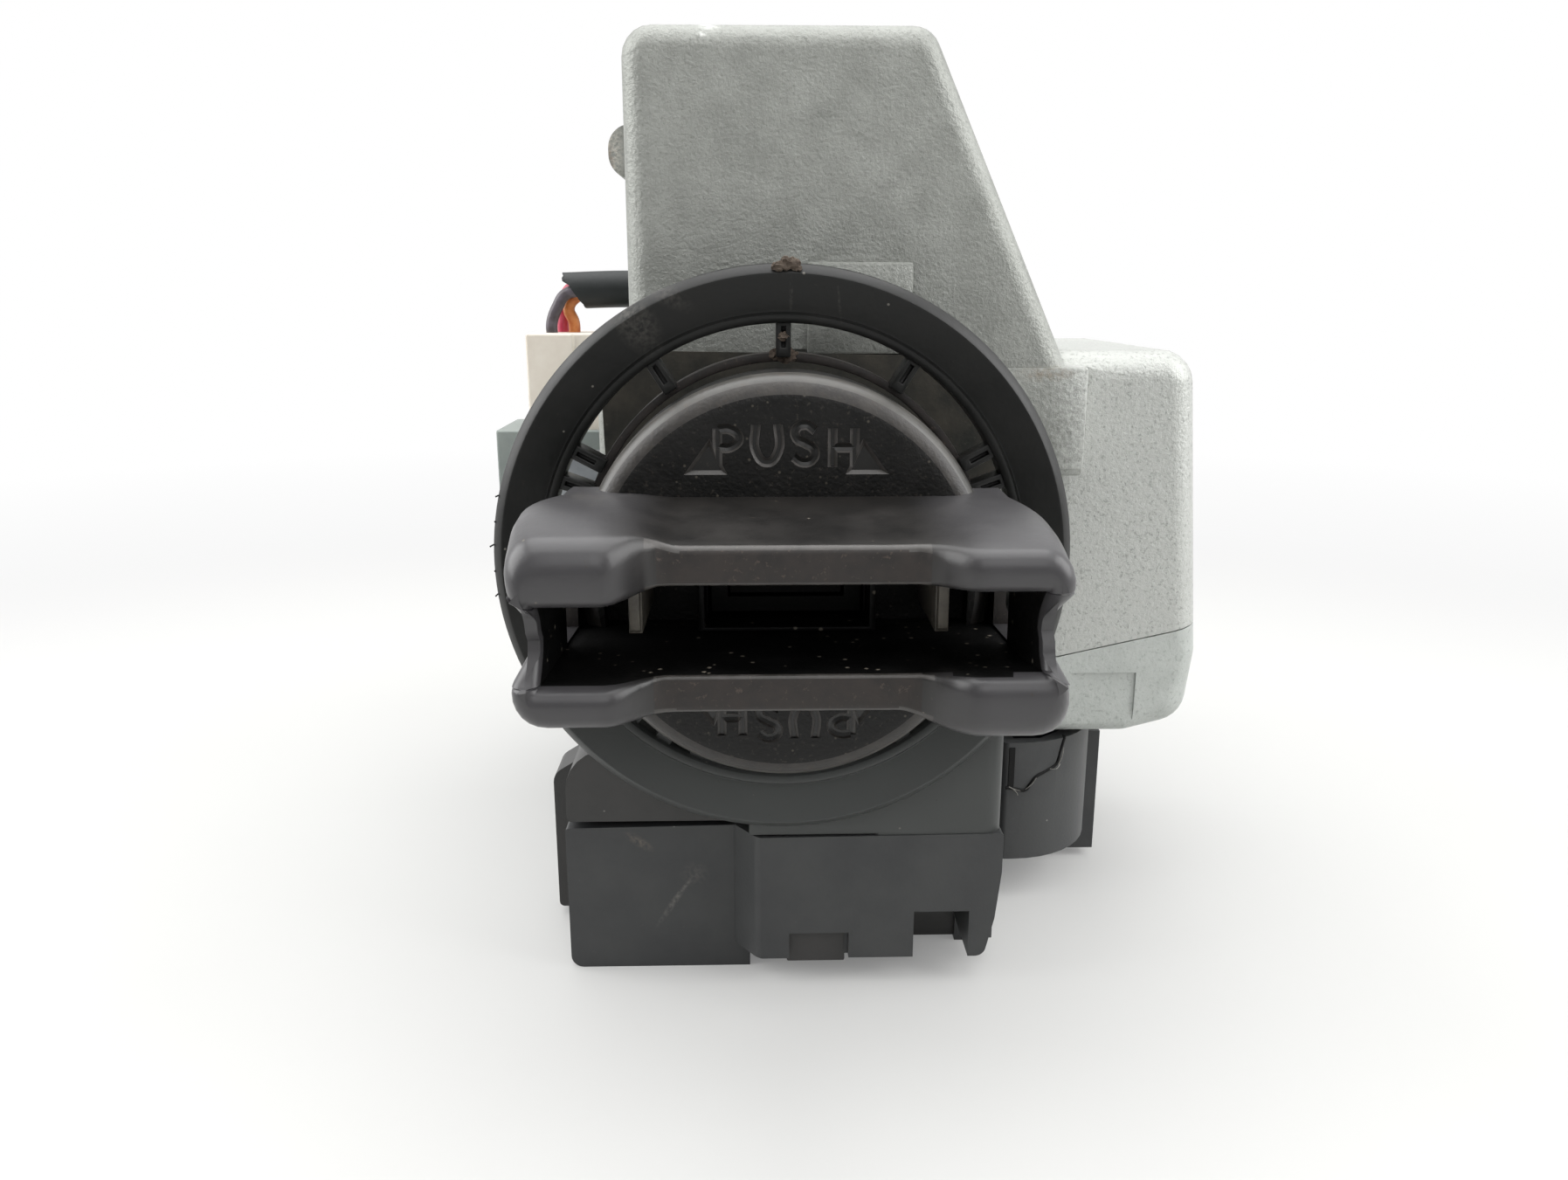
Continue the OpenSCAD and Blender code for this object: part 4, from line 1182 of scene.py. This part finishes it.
    def pointers(self, side: int) -> list[Piece]:
        """Make cutters for the two triangles beside the word.

        Args:
            side: 1 over the grip, -1 under it.

        Returns:
            The two cutters.
        """
        cutters = []
        deep = self.letter_depth
        mid_x, mid_z = self.pointer_middle
        for hand in (-1, 1):
            rings = [[(hand * (mid_x + (x - mid_x) * scale), self.face_y + y,
                       AXIS_Z + side * (mid_z + (z - mid_z) * scale)) for x, z in self.pointer]
                     for y, scale in ((-deep, 1.0), (-0.03, 1.0), (deep, 0.66))]
            cutters.append(loft("pointer_cut", rings))
        return cutters

    def shade_face(self, face: Piece) -> None:
        """Give the floors of the sunk word their finish, and give its walls and the rounded edge
        lighter finishes, part wear and part painted highlight.

        Args:
            face: The dressed knob face.
        """
        for finish in (STROKE_ABS, EDGE_ABS, RIM_BLEND, RIM_WEAR_AND_HIGHLIGHT):
            face.data.materials.append(finish.material())
        for part in face.data.polygons:
            x, y, z = part.center / MM - Vector((0, 0, AXIS_Z))
            away, front = math.hypot(x, z), part.normal.y
            if abs(z) > 7.5 and away < 14.2 and self.face_y + 0.02 < y < self.face_y + 0.6:
                part.material_index = 1 if front < -0.85 else 2
            # Painted highlight: the further the rounded edge turns from the face, the lighter its
            # finish.
            elif away > self.face_r - self.fillet and y < self.face_y + self.fillet:
                part.material_index = 0 if front < -0.985 else 3 if front < -0.7 else 4


@dataclass
class TrimRing(Assembly):
    """The black ring around the knob with its open windows, dirt and torn flash."""

    slot: str = "black_ring"
    outer_r: float = 24.9
    lip_r: float = 20.1
    hub_r: float = 17.6
    hub_in_r: float = 16.9
    front: float = -12.0
    back: float = -8.0
    hub_front: float = -9.4
    hub_back: float = -6.0
    sill_front: float = -10.0
    spokes: tuple[float, ...] = (20, 28, 57, 90, 123, 152, 160)
    slits: tuple[float, ...] = (222, 232, 242, 298, 308, 318)
    # Angle, distance from the axis, depth and radius of each lump of dirt.
    lumps: tuple[tuple[float, float, float, float], ...] = (
        (89.0, 24.8, -11.6, 0.75), (91.0, 24.6, -11.8, 0.5), (87.5, 24.5, -11.8, 0.35),
        (89.2, 17.5, -9.3, 0.85), (91.6, 17.5, -9.4, 0.6), (90.0, 19.0, -10.2, 0.5))
    # Angle and length of each hair of flash.
    burrs: tuple[Flat, ...] = (
        (166, 0.7), (171, 0.5), (176, 0.8), (181, 0.5), (186, 0.7), (190, 0.4))

    def build(self) -> None:
        """Build and dress the ring."""
        self.dress(self.band(), RING_NYLON, "trim_ring")
        self.dress(self.hub(), RIM_DUST)
        self.dress(self.sill(), RING_NYLON)
        self.dress(self.apron(), RING_NYLON)
        for i, angle in enumerate(self.spokes):
            self.dress(self.spoke(f"ring_spoke_{i}", angle), RING_NYLON)
        # Painted shade: a dark plate fills the view through the upper windows.
        self.dress(self.seal(), PAINTED_SHADE_PLATE)
        for i, lump in enumerate(self.lumps):
            self.dress(self.lump(f"ring_dirt_{i}", *lump), DIRT)
        for i, burr in enumerate(self.burrs):
            self.dress(self.burr(f"ring_burr_{i}", *burr), RING_NYLON)

    def band(self) -> Piece:
        """Turn the outer band, dished towards its lip.

        Returns:
            The band.
        """
        r, lip, y = self.outer_r, self.lip_r, self.front
        band = spin("window_ring", [
            (r, y + 0.9), (r - 0.8, y), (lip + 0.9, y + 1.6), (lip + 0.7, y + 1.1), (lip, y + 1.3),
            (lip, self.back), (r, self.back), (r, y + 0.9)], 160)
        soften(band, 0.16, 2, 25)
        smooth(band, 30)
        return band

    def hub(self) -> Piece:
        """Turn the thin inner rim around the knob face.

        Returns:
            The rim.
        """
        low, high, front, back = self.hub_in_r, self.hub_r, self.hub_front, self.hub_back
        hub = spin("window_ring_hub",
                   [(low, front), (high, front), (high, back), (low, back), (low, front)])
        soften(hub, 0.15)
        smooth(hub, 30)
        return hub

    def sill(self) -> Piece:
        """Turn the closed lower half between the hub and the lip, with its short slits.

        Returns:
            The sill.
        """
        low, high, front = self.hub_r - 0.3, self.lip_r + 0.3, self.sill_front
        sill = spin("window_ring_sill", [
            (low, front), (high, front), (high, self.back), (low, self.back), (low, front)])
        carve(sill, brick("upper_half", (-40, -14, AXIS_Z - 4), (40, 0, AXIS_Z + 40)))
        carve(sill, brick("left_opening", (-40, -14, AXIS_Z - 8.4), (-14, 0, AXIS_Z)))
        for angle in self.slits:
            carve(sill, self.turned_brick("slit", angle, (19.4, -11, -1.0), (20.3, -7, 1.0)))
        smooth(sill, 30)
        return sill

    def apron(self) -> Piece:
        """Shape the flat apron that runs from the ring down to the module.

        Returns:
            The apron.
        """
        apron = brick("ring_apron", (-3.2, self.front + 0.9, 14.5), (20.2, self.back, AXIS_Z - 8))
        round_edges(apron, 1.6, lambda p: p.x > 20.1 and p.y < self.front + 1)
        carve(apron, brick("seam_cut", (-5, -13, 14), (8.6, -7, 15.2)))
        room = self.outer_r - 0.6
        carve(apron, spin("ring_room", [(0, -14), (room, -14), (room, -6), (0, -6)]))
        soften(apron, 0.2, 2, 50)
        smooth(apron, 40)
        return apron

    def turned_brick(self, name: str, angle_deg: float, low: Point, high: Point) -> Piece:
        """Add a plain box at the right of the axis and turn it round the axis.

        Args:
            name: Name of the piece.
            angle_deg: How far it is turned up.
            low: Lowest corner, measured from the axis.
            high: Highest corner, measured from the axis.

        Returns:
            The box.
        """
        box = brick(name, low, high)
        box.rotation_euler = (0, -math.radians(angle_deg), 0)
        box.location = (0, 0, AXIS_Z * MM)
        return settle(box)

    def spoke(self, name: str, angle_deg: float) -> Piece:
        """Shape one grooved spoke between the hub and the lip.

        Args:
            name: Name of the piece.
            angle_deg: Its place around the ring.

        Returns:
            The spoke.
        """
        low, high = self.hub_r, self.lip_r
        bar = self.turned_brick(name, angle_deg, (low - 0.3, -10.4, -0.62),
                                (high + 0.3, self.back, 0.62))
        carve(bar, self.turned_brick("groove", angle_deg, (low + 0.5, -11, -0.2),
                                     (high - 0.3, -9.7, 0.2)))
        soften(bar, 0.1)
        smooth(bar, 40)
        return bar

    def seal(self) -> Piece:
        """Cut the dark plate behind the upper windows, a sheet of painted shade where the casting's
        recess lies in shade.

        Returns:
            The plate.
        """
        outline = [on_circle(21.2, a) for a in (*range(17, 57, 4), *range(125, 142, 4))]
        outline += [(-16.3, 6.2)] + [on_circle(15.8, a) for a in range(157, 16, -4)]
        rings = [[(x, y, AXIS_Z + z) for x, z in outline] for y in (-0.7, -0.02)]
        seal = loft("window_shade_plate", rings)
        smooth(seal, 30)
        return seal

    def burr(self, name: str, angle_deg: float, length: float) -> Piece:
        """Leave one hair of torn flash on the outer edge.

        Args:
            name: Name of the piece.
            angle_deg: Its place around the ring.
            length: How far it stands out.

        Returns:
            The hair.
        """
        points = []
        for s in (0, 0.5, 1):
            reach = self.outer_r - 0.5 + length * s
            turn = math.radians(angle_deg) + 0.012 * s * s
            points.append((reach * math.cos(turn), -11.0 - 0.2 * s,
                           AXIS_Z + reach * math.sin(turn)))
        return tube(name, points, 0.07, 2)

    def lump(self, name: str, angle_deg: float, reach: float, y: float, size: float) -> Piece:
        """Press a lump of dirt into the ring.

        Args:
            name: Name of the piece.
            angle_deg: Place around the ring.
            reach: Distance from the axis.
            y: Depth of its middle.
            size: Radius of the lump.

        Returns:
            The lump.
        """
        x, z = on_circle(reach, angle_deg)
        clear_selection()
        bpy.ops.mesh.primitive_ico_sphere_add(
            subdivisions=3, radius=size * MM, location=(x * MM, y * MM, (AXIS_Z + z) * MM))
        lump = bpy.context.object
        lump.name = name
        lump.scale = (1.2, 0.7, 0.8)
        settle(lump)
        dice = random.Random(name)
        for vertex in lump.data.vertices:
            vertex.co += vertex.normal * dice.uniform(-0.3, 0.2) * size * MM
        smooth(lump, 60)
        return lump


@dataclass
class Casting(Assembly):
    """The die-cast lock body with its side block, plates and cover."""

    slot: str = "zinc_cast"
    round_mm: float = 0.25
    sharp_deg: float = 50.0
    plates: tuple[tuple[str, Point, Point], ...] = (
        ("tower_pad", (2.4, -0.55, 58.0), (12.0, 0.5, 66.2)),
        ("block_boss", (16.0, -0.15, 47.2), (28.62, 4.2, 56.8)))

    def build(self) -> None:
        """Build and dress the castings."""
        body = copy_node("lock_body", "cast_lock_body", self.round_mm, self.sharp_deg)
        carve(body, brick("boss_side", (28.6, -1, 44.0), (34.0, 3.97, 57.4)))
        even_light(body)
        self.dress(body, ZINC, "lock_body")
        for name, low, high in self.plates:
            plate = brick(name, low, high, 0.3)
            smooth(plate)
            self.dress(plate, ZINC)
        # Painted light: the cover takes the lighter copy of the zinc.
        cover = copy_node("body_cover", "cast_cover", self.round_mm, self.sharp_deg)
        self.dress(cover, ZINC_PAINTED_LIGHT, "body_cover", slot="zinc_cover")


@dataclass
class ControlModule(Assembly):
    """The black two-part module under the knob and its cracked side pod."""

    slot: str = "black_case"
    fibres: tuple[tuple[Point, ...], ...] = (
        ((23.9, 3.97, 13.2), (24.6, 3.8, 12.9), (25.5, 3.97, 12.6)),
        ((24.3, 3.97, 13.0), (24.8, 3.7, 12.6), (25.0, 3.9, 12.2)),
        ((25.8, 3.97, 12.8), (26.4, 3.75, 13.5), (26.9, 3.97, 14.1)),
        ((29.3, 4.6, 15.3), (29.6, 4.4, 16.3), (29.8, 4.7, 17.2)),
        ((28.4, 4.4, 14.9), (29.0, 4.2, 15.0), (29.5, 4.6, 15.4)))
    crack: tuple[Point, ...] = (
        (23.75, 4.03, 13.0), (24.8, 4.03, 12.86), (25.8, 4.08, 12.7), (26.3, 4.14, 13.3),
        (26.8, 4.24, 14.0), (28.0, 4.58, 14.6), (29.2, 5.07, 15.2), (29.6, 5.3, 16.5),
        (30.05, 5.56, 18.0))
    panels: tuple[tuple[str, Point, Point], ...] = (
        ("notch_rib", (12.0, -3.4, 0.2), (17.6, -2.4, 8.0)),
        ("latch_panel", (0.3, -10.42, 1.8), (5.8, -9.4, 5.3)))

    def build(self) -> None:
        """Build and dress the module."""
        upper = copy_node("module_upper_case", "module_upper", 0.4, corners=(
            (1.3, lambda p: p.y < -7.9 and p.x < -15 and p.z > 16.5),))
        self.dress(upper, CASE_DARK, "module_upper_case")
        lower = copy_node("module_lower_cover", "module_lower", 0.35, corners=(
            (1.2, lambda p: -8.05 < p.y < -7.95 and p.x < -5 and p.z < 12.5),
            (1.5, lambda p: p.y < -11.1 and p.x > 18.3 and p.z < 15)))
        self.dress(lower, CASE_NYLON, "module_lower_cover")
        for name, low, high in self.panels:
            self.dress(brick(name, low, high, 0.15), CASE_DARK)
        self.dress(copy_node("connector_pod", "side_pod", 0.12), CASE_NYLON, "connector_pod")
        # Painted shade: dark fillers in the crack and in the gap between module and pod.
        self.dress(tube("crack_shade_filler", self.crack, 0.19, 2), PAINTED_SHADE_BLACK)
        self.dress(brick("pod_gap_shade_filler", (23.9, 3.9, 12.8), (24.55, 4.5, 17.5), 0.05), PAINTED_SHADE_BLACK)
        for i, points in enumerate(self.fibres):
            self.dress(tube(f"crack_fibre_{i}", points, 0.045, 2), CRACK_FIBRE)


@dataclass
class Lead(Assembly):
    """The cream plug, its three wires and the black sleeve behind the casting."""

    slot: str = "cream_plastic"
    plug_x: float = -26.0
    plug_y: float = 45.0
    plug_top: float = 58.5
    sleeve_x: float = -26.6
    sleeve_z: float = 63.6
    sleeve_r: float = 2.28
    wire_r: float = 0.74
    grommet: Point = (31.0, 38.6, 50.2)
    # The sleeve's route, as shares of the way from the wires to the grommet along X, Y and Z.
    sag: tuple[Point, ...] = (
        (0, 0, 0), (0.15, 0, -0.02), (0.35, 0, 0), (0.6, 0, 0.1), (0.8, 0.08, 0.32),
        (0.94, 0.23, 0.68), (0.997, 0.58, 0.95), (1, 1, 1))
    # Colour and finish of each wire, its place in the plug, and across and up the sleeve.
    wires: tuple[tuple[str, Finish, float, float, float], ...] = (
        ("red", WIRE_RED, -1.1, 1.3, 0.9), ("orange", WIRE_ORANGE, 0.5, 0.0, -0.3),
        ("grey", WIRE_GREY, -2.1, -1.4, 0.0))

    def build(self) -> None:
        """Build and dress the lead."""
        self.dress(copy_node("lead_plug", "cream_plug", 0.3), CREAM_NYLON, "lead_plug")
        for name, finish, x, dy, dz in self.wires:
            self.dress(self.wire(name, self.plug_x + x, dy, dz), finish, f"lead_wire_{name}",
                       slot=f"wire_{name}")
        self.dress(self.sleeve(), SLEEVE, "lead_sheath", slot="sheath_rubber")

    def wire(self, name: str, x: float, dy: float, dz: float) -> Piece:
        """Run one wire out of the slanting end of the sleeve and down into the plug.

        Args:
            name: Colour of the wire.
            x: Where it goes into the plug.
            dy: Its place across the sleeve.
            dz: Its height in the sleeve.

        Returns:
            The wire.
        """
        y, z = self.plug_y + dy, self.sleeve_z + dz
        first = self.sleeve_x + 0.6 + (x - self.plug_x) * 0.45
        return tube(f"wire_{name}", [
            (first + 4.0, y, z), (first + 2.0, y, z), (first + 0.6, y, z - 0.5),
            (first - 0.3, y, z - 1.8), (x, y, self.plug_top + 1.2), (x, y, self.plug_top - 0.6)],
            self.wire_r)

    def sleeve(self) -> Piece:
        """Run the sleeve from the wires to the grommet and cut its end open on a slant.

        Returns:
            The sleeve.
        """
        start = Vector((self.sleeve_x - 0.8, self.plug_y, self.sleeve_z))
        reach = Vector(self.grommet) - start
        route = [tuple(start[i] + s[i] * reach[i] for i in range(3)) for s in self.sag]
        sleeve = tube("shrink_sleeve", route, self.sleeve_r, 8)
        slant = Vector((-1, 0, -0.66)).normalized()
        mouth = (self.sleeve_x + 1.4, self.plug_y, self.sleeve_z)
        with editing(sleeve):
            bpy.ops.mesh.bisect(plane_co=[c * MM for c in mouth], plane_no=slant, use_fill=True,
                                clear_outer=True)
            pick(sleeve, Part.FACE, lambda p: abs((p - Vector(mouth)).dot(slant)) < 0.05)
            bpy.ops.mesh.inset(thickness=0.35 * MM)
            bpy.ops.mesh.extrude_region_move(TRANSFORM_OT_translate={"value": (2.4 * MM, 0, 0)})
        smooth(sleeve, 40)
        return sleeve


@dataclass
class RearSwitch(Assembly):
    """The electrical switch behind the casting with its socket arm and hood."""

    slot: str = "switch_plastic"

    def build(self) -> None:
        """Build and dress the switch housing."""
        for node, name in (("switch_base", "switch_housing"), ("switch_cap", "switch_hood")):
            self.dress(copy_node(node, name, 0.3), SWITCH_NYLON, node)


class Inner(Enum):
    """Solids that keep their CAD shape, with the finish each one gets."""

    cover_screws = STEEL
    module_screws = STEEL
    switch_screw_pair = STEEL
    solenoid_frame = STEEL
    solenoid_plunger = STEEL
    lock_bolt = STEEL
    lock_cam = STEEL
    bearing_plate = ZINC_PAINTED_LIGHT
    # Painted shade: the rotor and the shutter deep in the hollow are near black.
    rotor = NOSE_PAINTED_SHADE
    key_shutter = NOSE_PAINTED_SHADE
    antenna_coil = COPPER
    solenoid_coil = COPPER
    plunger_spring = SPRING_WIRE
    bolt_spring = SPRING_WIRE
    knob_spring = SPRING_WIRE
    switch_blades = BRASS
    pod_pins = BRASS
    moving_contact = BRASS
    wafer_stack = BRASS
    circuit_board = BOARD
    board_parts = CHIP_EPOXY
    switch_rotor = ACETAL
    lead_grommet = RUBBER


@dataclass
class InnerWorks:
    """The solids inside and behind, which need no new shape."""

    solids: type[Enum] = Inner

    def build(self) -> None:
        """Give each solid its finish."""
        for name, member in self.solids.__members__.items():
            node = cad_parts[name]
            node.data.materials.clear()
            node.data.materials.append(member.value.material())
            LOG.info("%s keeps its shape", name)


# Studio

@dataclass(frozen=True)
class SoftBox:
    """One square lamp: where it hangs and what it points at, in millimetres, its side and power."""

    name: str
    place: Point
    aim: Point
    side: float
    watts: float

    def hang(self) -> None:
        """Put the lamp into the scene."""
        light = bpy.data.lights.new(self.name, "AREA")
        light.size = self.side * MM
        light.energy = self.watts
        lamp = stand(self.name, light)
        lamp.location = [c * MM for c in self.place]
        way = Vector(self.aim) - Vector(self.place)
        lamp.rotation_euler = way.to_track_quat("-Z", "Y").to_euler()


def seen_directly(tree: Tree, behind: Socket) -> Socket:
    """Find the rays to which the background is plain white.

    Args:
        tree: Nodes of the floor or the world.
        behind: How far a place lies towards the back.

    Returns:
        1 for the camera, for glass, and for a glossy surface that mirrors the back.
    """
    path = put(tree, "ShaderNodeLightPath", {}).outputs
    mirrored = put(tree, "ShaderNodeMath", {0: path["Is Glossy Ray"], 1: behind},
                   operation="MULTIPLY").outputs[0]
    seen = put(tree, "ShaderNodeMath", {
        0: path["Is Camera Ray"], 1: path["Is Transmission Ray"]}, operation="MAXIMUM").outputs[0]
    return put(tree, "ShaderNodeMath", {0: seen, 1: mirrored}, operation="MAXIMUM").outputs[0]


@dataclass
class Studio:
    """Camera, soft lights and the white floor."""

    eye: Point = (-2.4, -110.27, 63.75)
    pitch_deg: float = 75.7
    turn_deg: float = -1.4
    lens_mm: float = 27.03
    paper: str = "#cacac8"
    lamps: tuple[SoftBox, ...] = (
        SoftBox("top_softbox", (0, 40, 420), (0, 20, 40), 440, 1.7),
        SoftBox("right_softbox", (330, -70, 220), (0, 0, 40), 300, 1.25),
        SoftBox("left_softbox", (-330, 0, 220), (0, 0, 40), 300, 1.25),
        SoftBox("front_softbox", (30, -330, 300), (0, 0, 40), 260, 0.33))

    def build(self) -> None:
        """Set up the whole studio."""
        self.camera()
        self.floor()
        self.world()
        for lamp in self.lamps:
            lamp.hang()

    def camera(self) -> None:
        """Place the camera where the photo was taken from."""
        lens = bpy.data.cameras.new("photo_camera")
        lens.lens = self.lens_mm
        lens.sensor_width = 36
        lens.sensor_fit = "HORIZONTAL"
        lens.clip_start = 0.005
        view = stand("photo_camera", lens)
        view.location = [c * MM for c in self.eye]
        view.rotation_euler = (math.radians(self.pitch_deg), 0, math.radians(self.turn_deg))
        bpy.context.scene.camera = view

    def floor(self) -> None:
        """Lay the white floor, plain white to the camera away from the object; near it a fifth of
        glow lifts the shadows as painted light.
        """
        clear_selection()
        bpy.ops.mesh.primitive_plane_add(size=6)
        plane = bpy.context.object
        plane.name = "paper_floor"
        paper = bpy.data.materials.new("white_paper")
        paper.use_nodes = True
        tree = paper.node_tree
        tree.nodes.clear()
        place = put(tree, "ShaderNodeTexCoord", {}).outputs["Object"]
        away = put(tree, "ShaderNodeVectorMath", {0: place}, operation="LENGTH").outputs["Value"]
        # Painted light: near the object a fifth of what the camera sees of the floor still glows,
        # lifting the shadows there.
        far = put(tree, "ShaderNodeMapRange", {0: away, 1: 0.1, 2: 0.24, 3: 0.2},
                  interpolation_type="SMOOTHSTEP").outputs[0]
        glow = put(tree, "ShaderNodeMapRange", {0: away, 1: 0.1, 2: 0.4, 3: 0.9}).outputs[0]
        depth = put(tree, "ShaderNodeSeparateXYZ", {0: place}).outputs[1]
        behind = put(tree, "ShaderNodeMapRange", {0: depth, 1: -0.3, 2: -0.1}).outputs[0]
        share = put(tree, "ShaderNodeMath", {0: far, 1: seen_directly(tree, behind)},
                    operation="MULTIPLY").outputs[0]
        lit = put(tree, "ShaderNodeBsdfDiffuse", {"Color": linear(self.paper)}).outputs[0]
        white = put(tree, "ShaderNodeEmission", {"Strength": glow}).outputs[0]
        mixed = put(tree, "ShaderNodeMixShader", {0: share, 1: lit, 2: white}).outputs[0]
        put(tree, "ShaderNodeOutputMaterial", {"Surface": mixed})
        plane.data.materials.append(paper)

    def world(self) -> None:
        """Fill the room with soft light from above, and show its back wall white."""
        world = bpy.data.worlds.new("white_room")
        world.use_nodes = True
        tree = world.node_tree
        tree.nodes.clear()
        place = put(tree, "ShaderNodeTexCoord", {}).outputs["Generated"]
        way = put(tree, "ShaderNodeSeparateXYZ", {0: place}).outputs
        behind = put(tree, "ShaderNodeMapRange", {0: way[1], 1: -0.1, 2: 0.35}).outputs[0]
        dim = put(tree, "ShaderNodeMapRange", {
            0: way[2], 1: -0.1, 2: 0.9, 3: 0.2, 4: 0.5}).outputs[0]
        strength = put(tree, "ShaderNodeMapRange", {
            0: seen_directly(tree, behind), 3: dim, 4: 1.0}).outputs[0]
        sky = put(tree, "ShaderNodeBackground", {
            "Color": (1, 1, 1, 1), "Strength": strength}).outputs[0]
        put(tree, "ShaderNodeOutputWorld", {"Surface": sky})
        bpy.context.scene.world = world
        bpy.context.scene.view_settings.view_transform = "Standard"


def main() -> None:
    """Build every sub-assembly in order and log each one as it is done."""
    logging.basicConfig(level=logging.INFO, format="%(message)s")
    Studio().build()
    for assembly in (Lead(), Casting(), ControlModule(), RearSwitch(), TrimRing(), Knob(),
                     InnerWorks()):
        assembly.build()
        LOG.info("%s done", type(assembly).__name__)


if __name__ == "__main__":
    main()
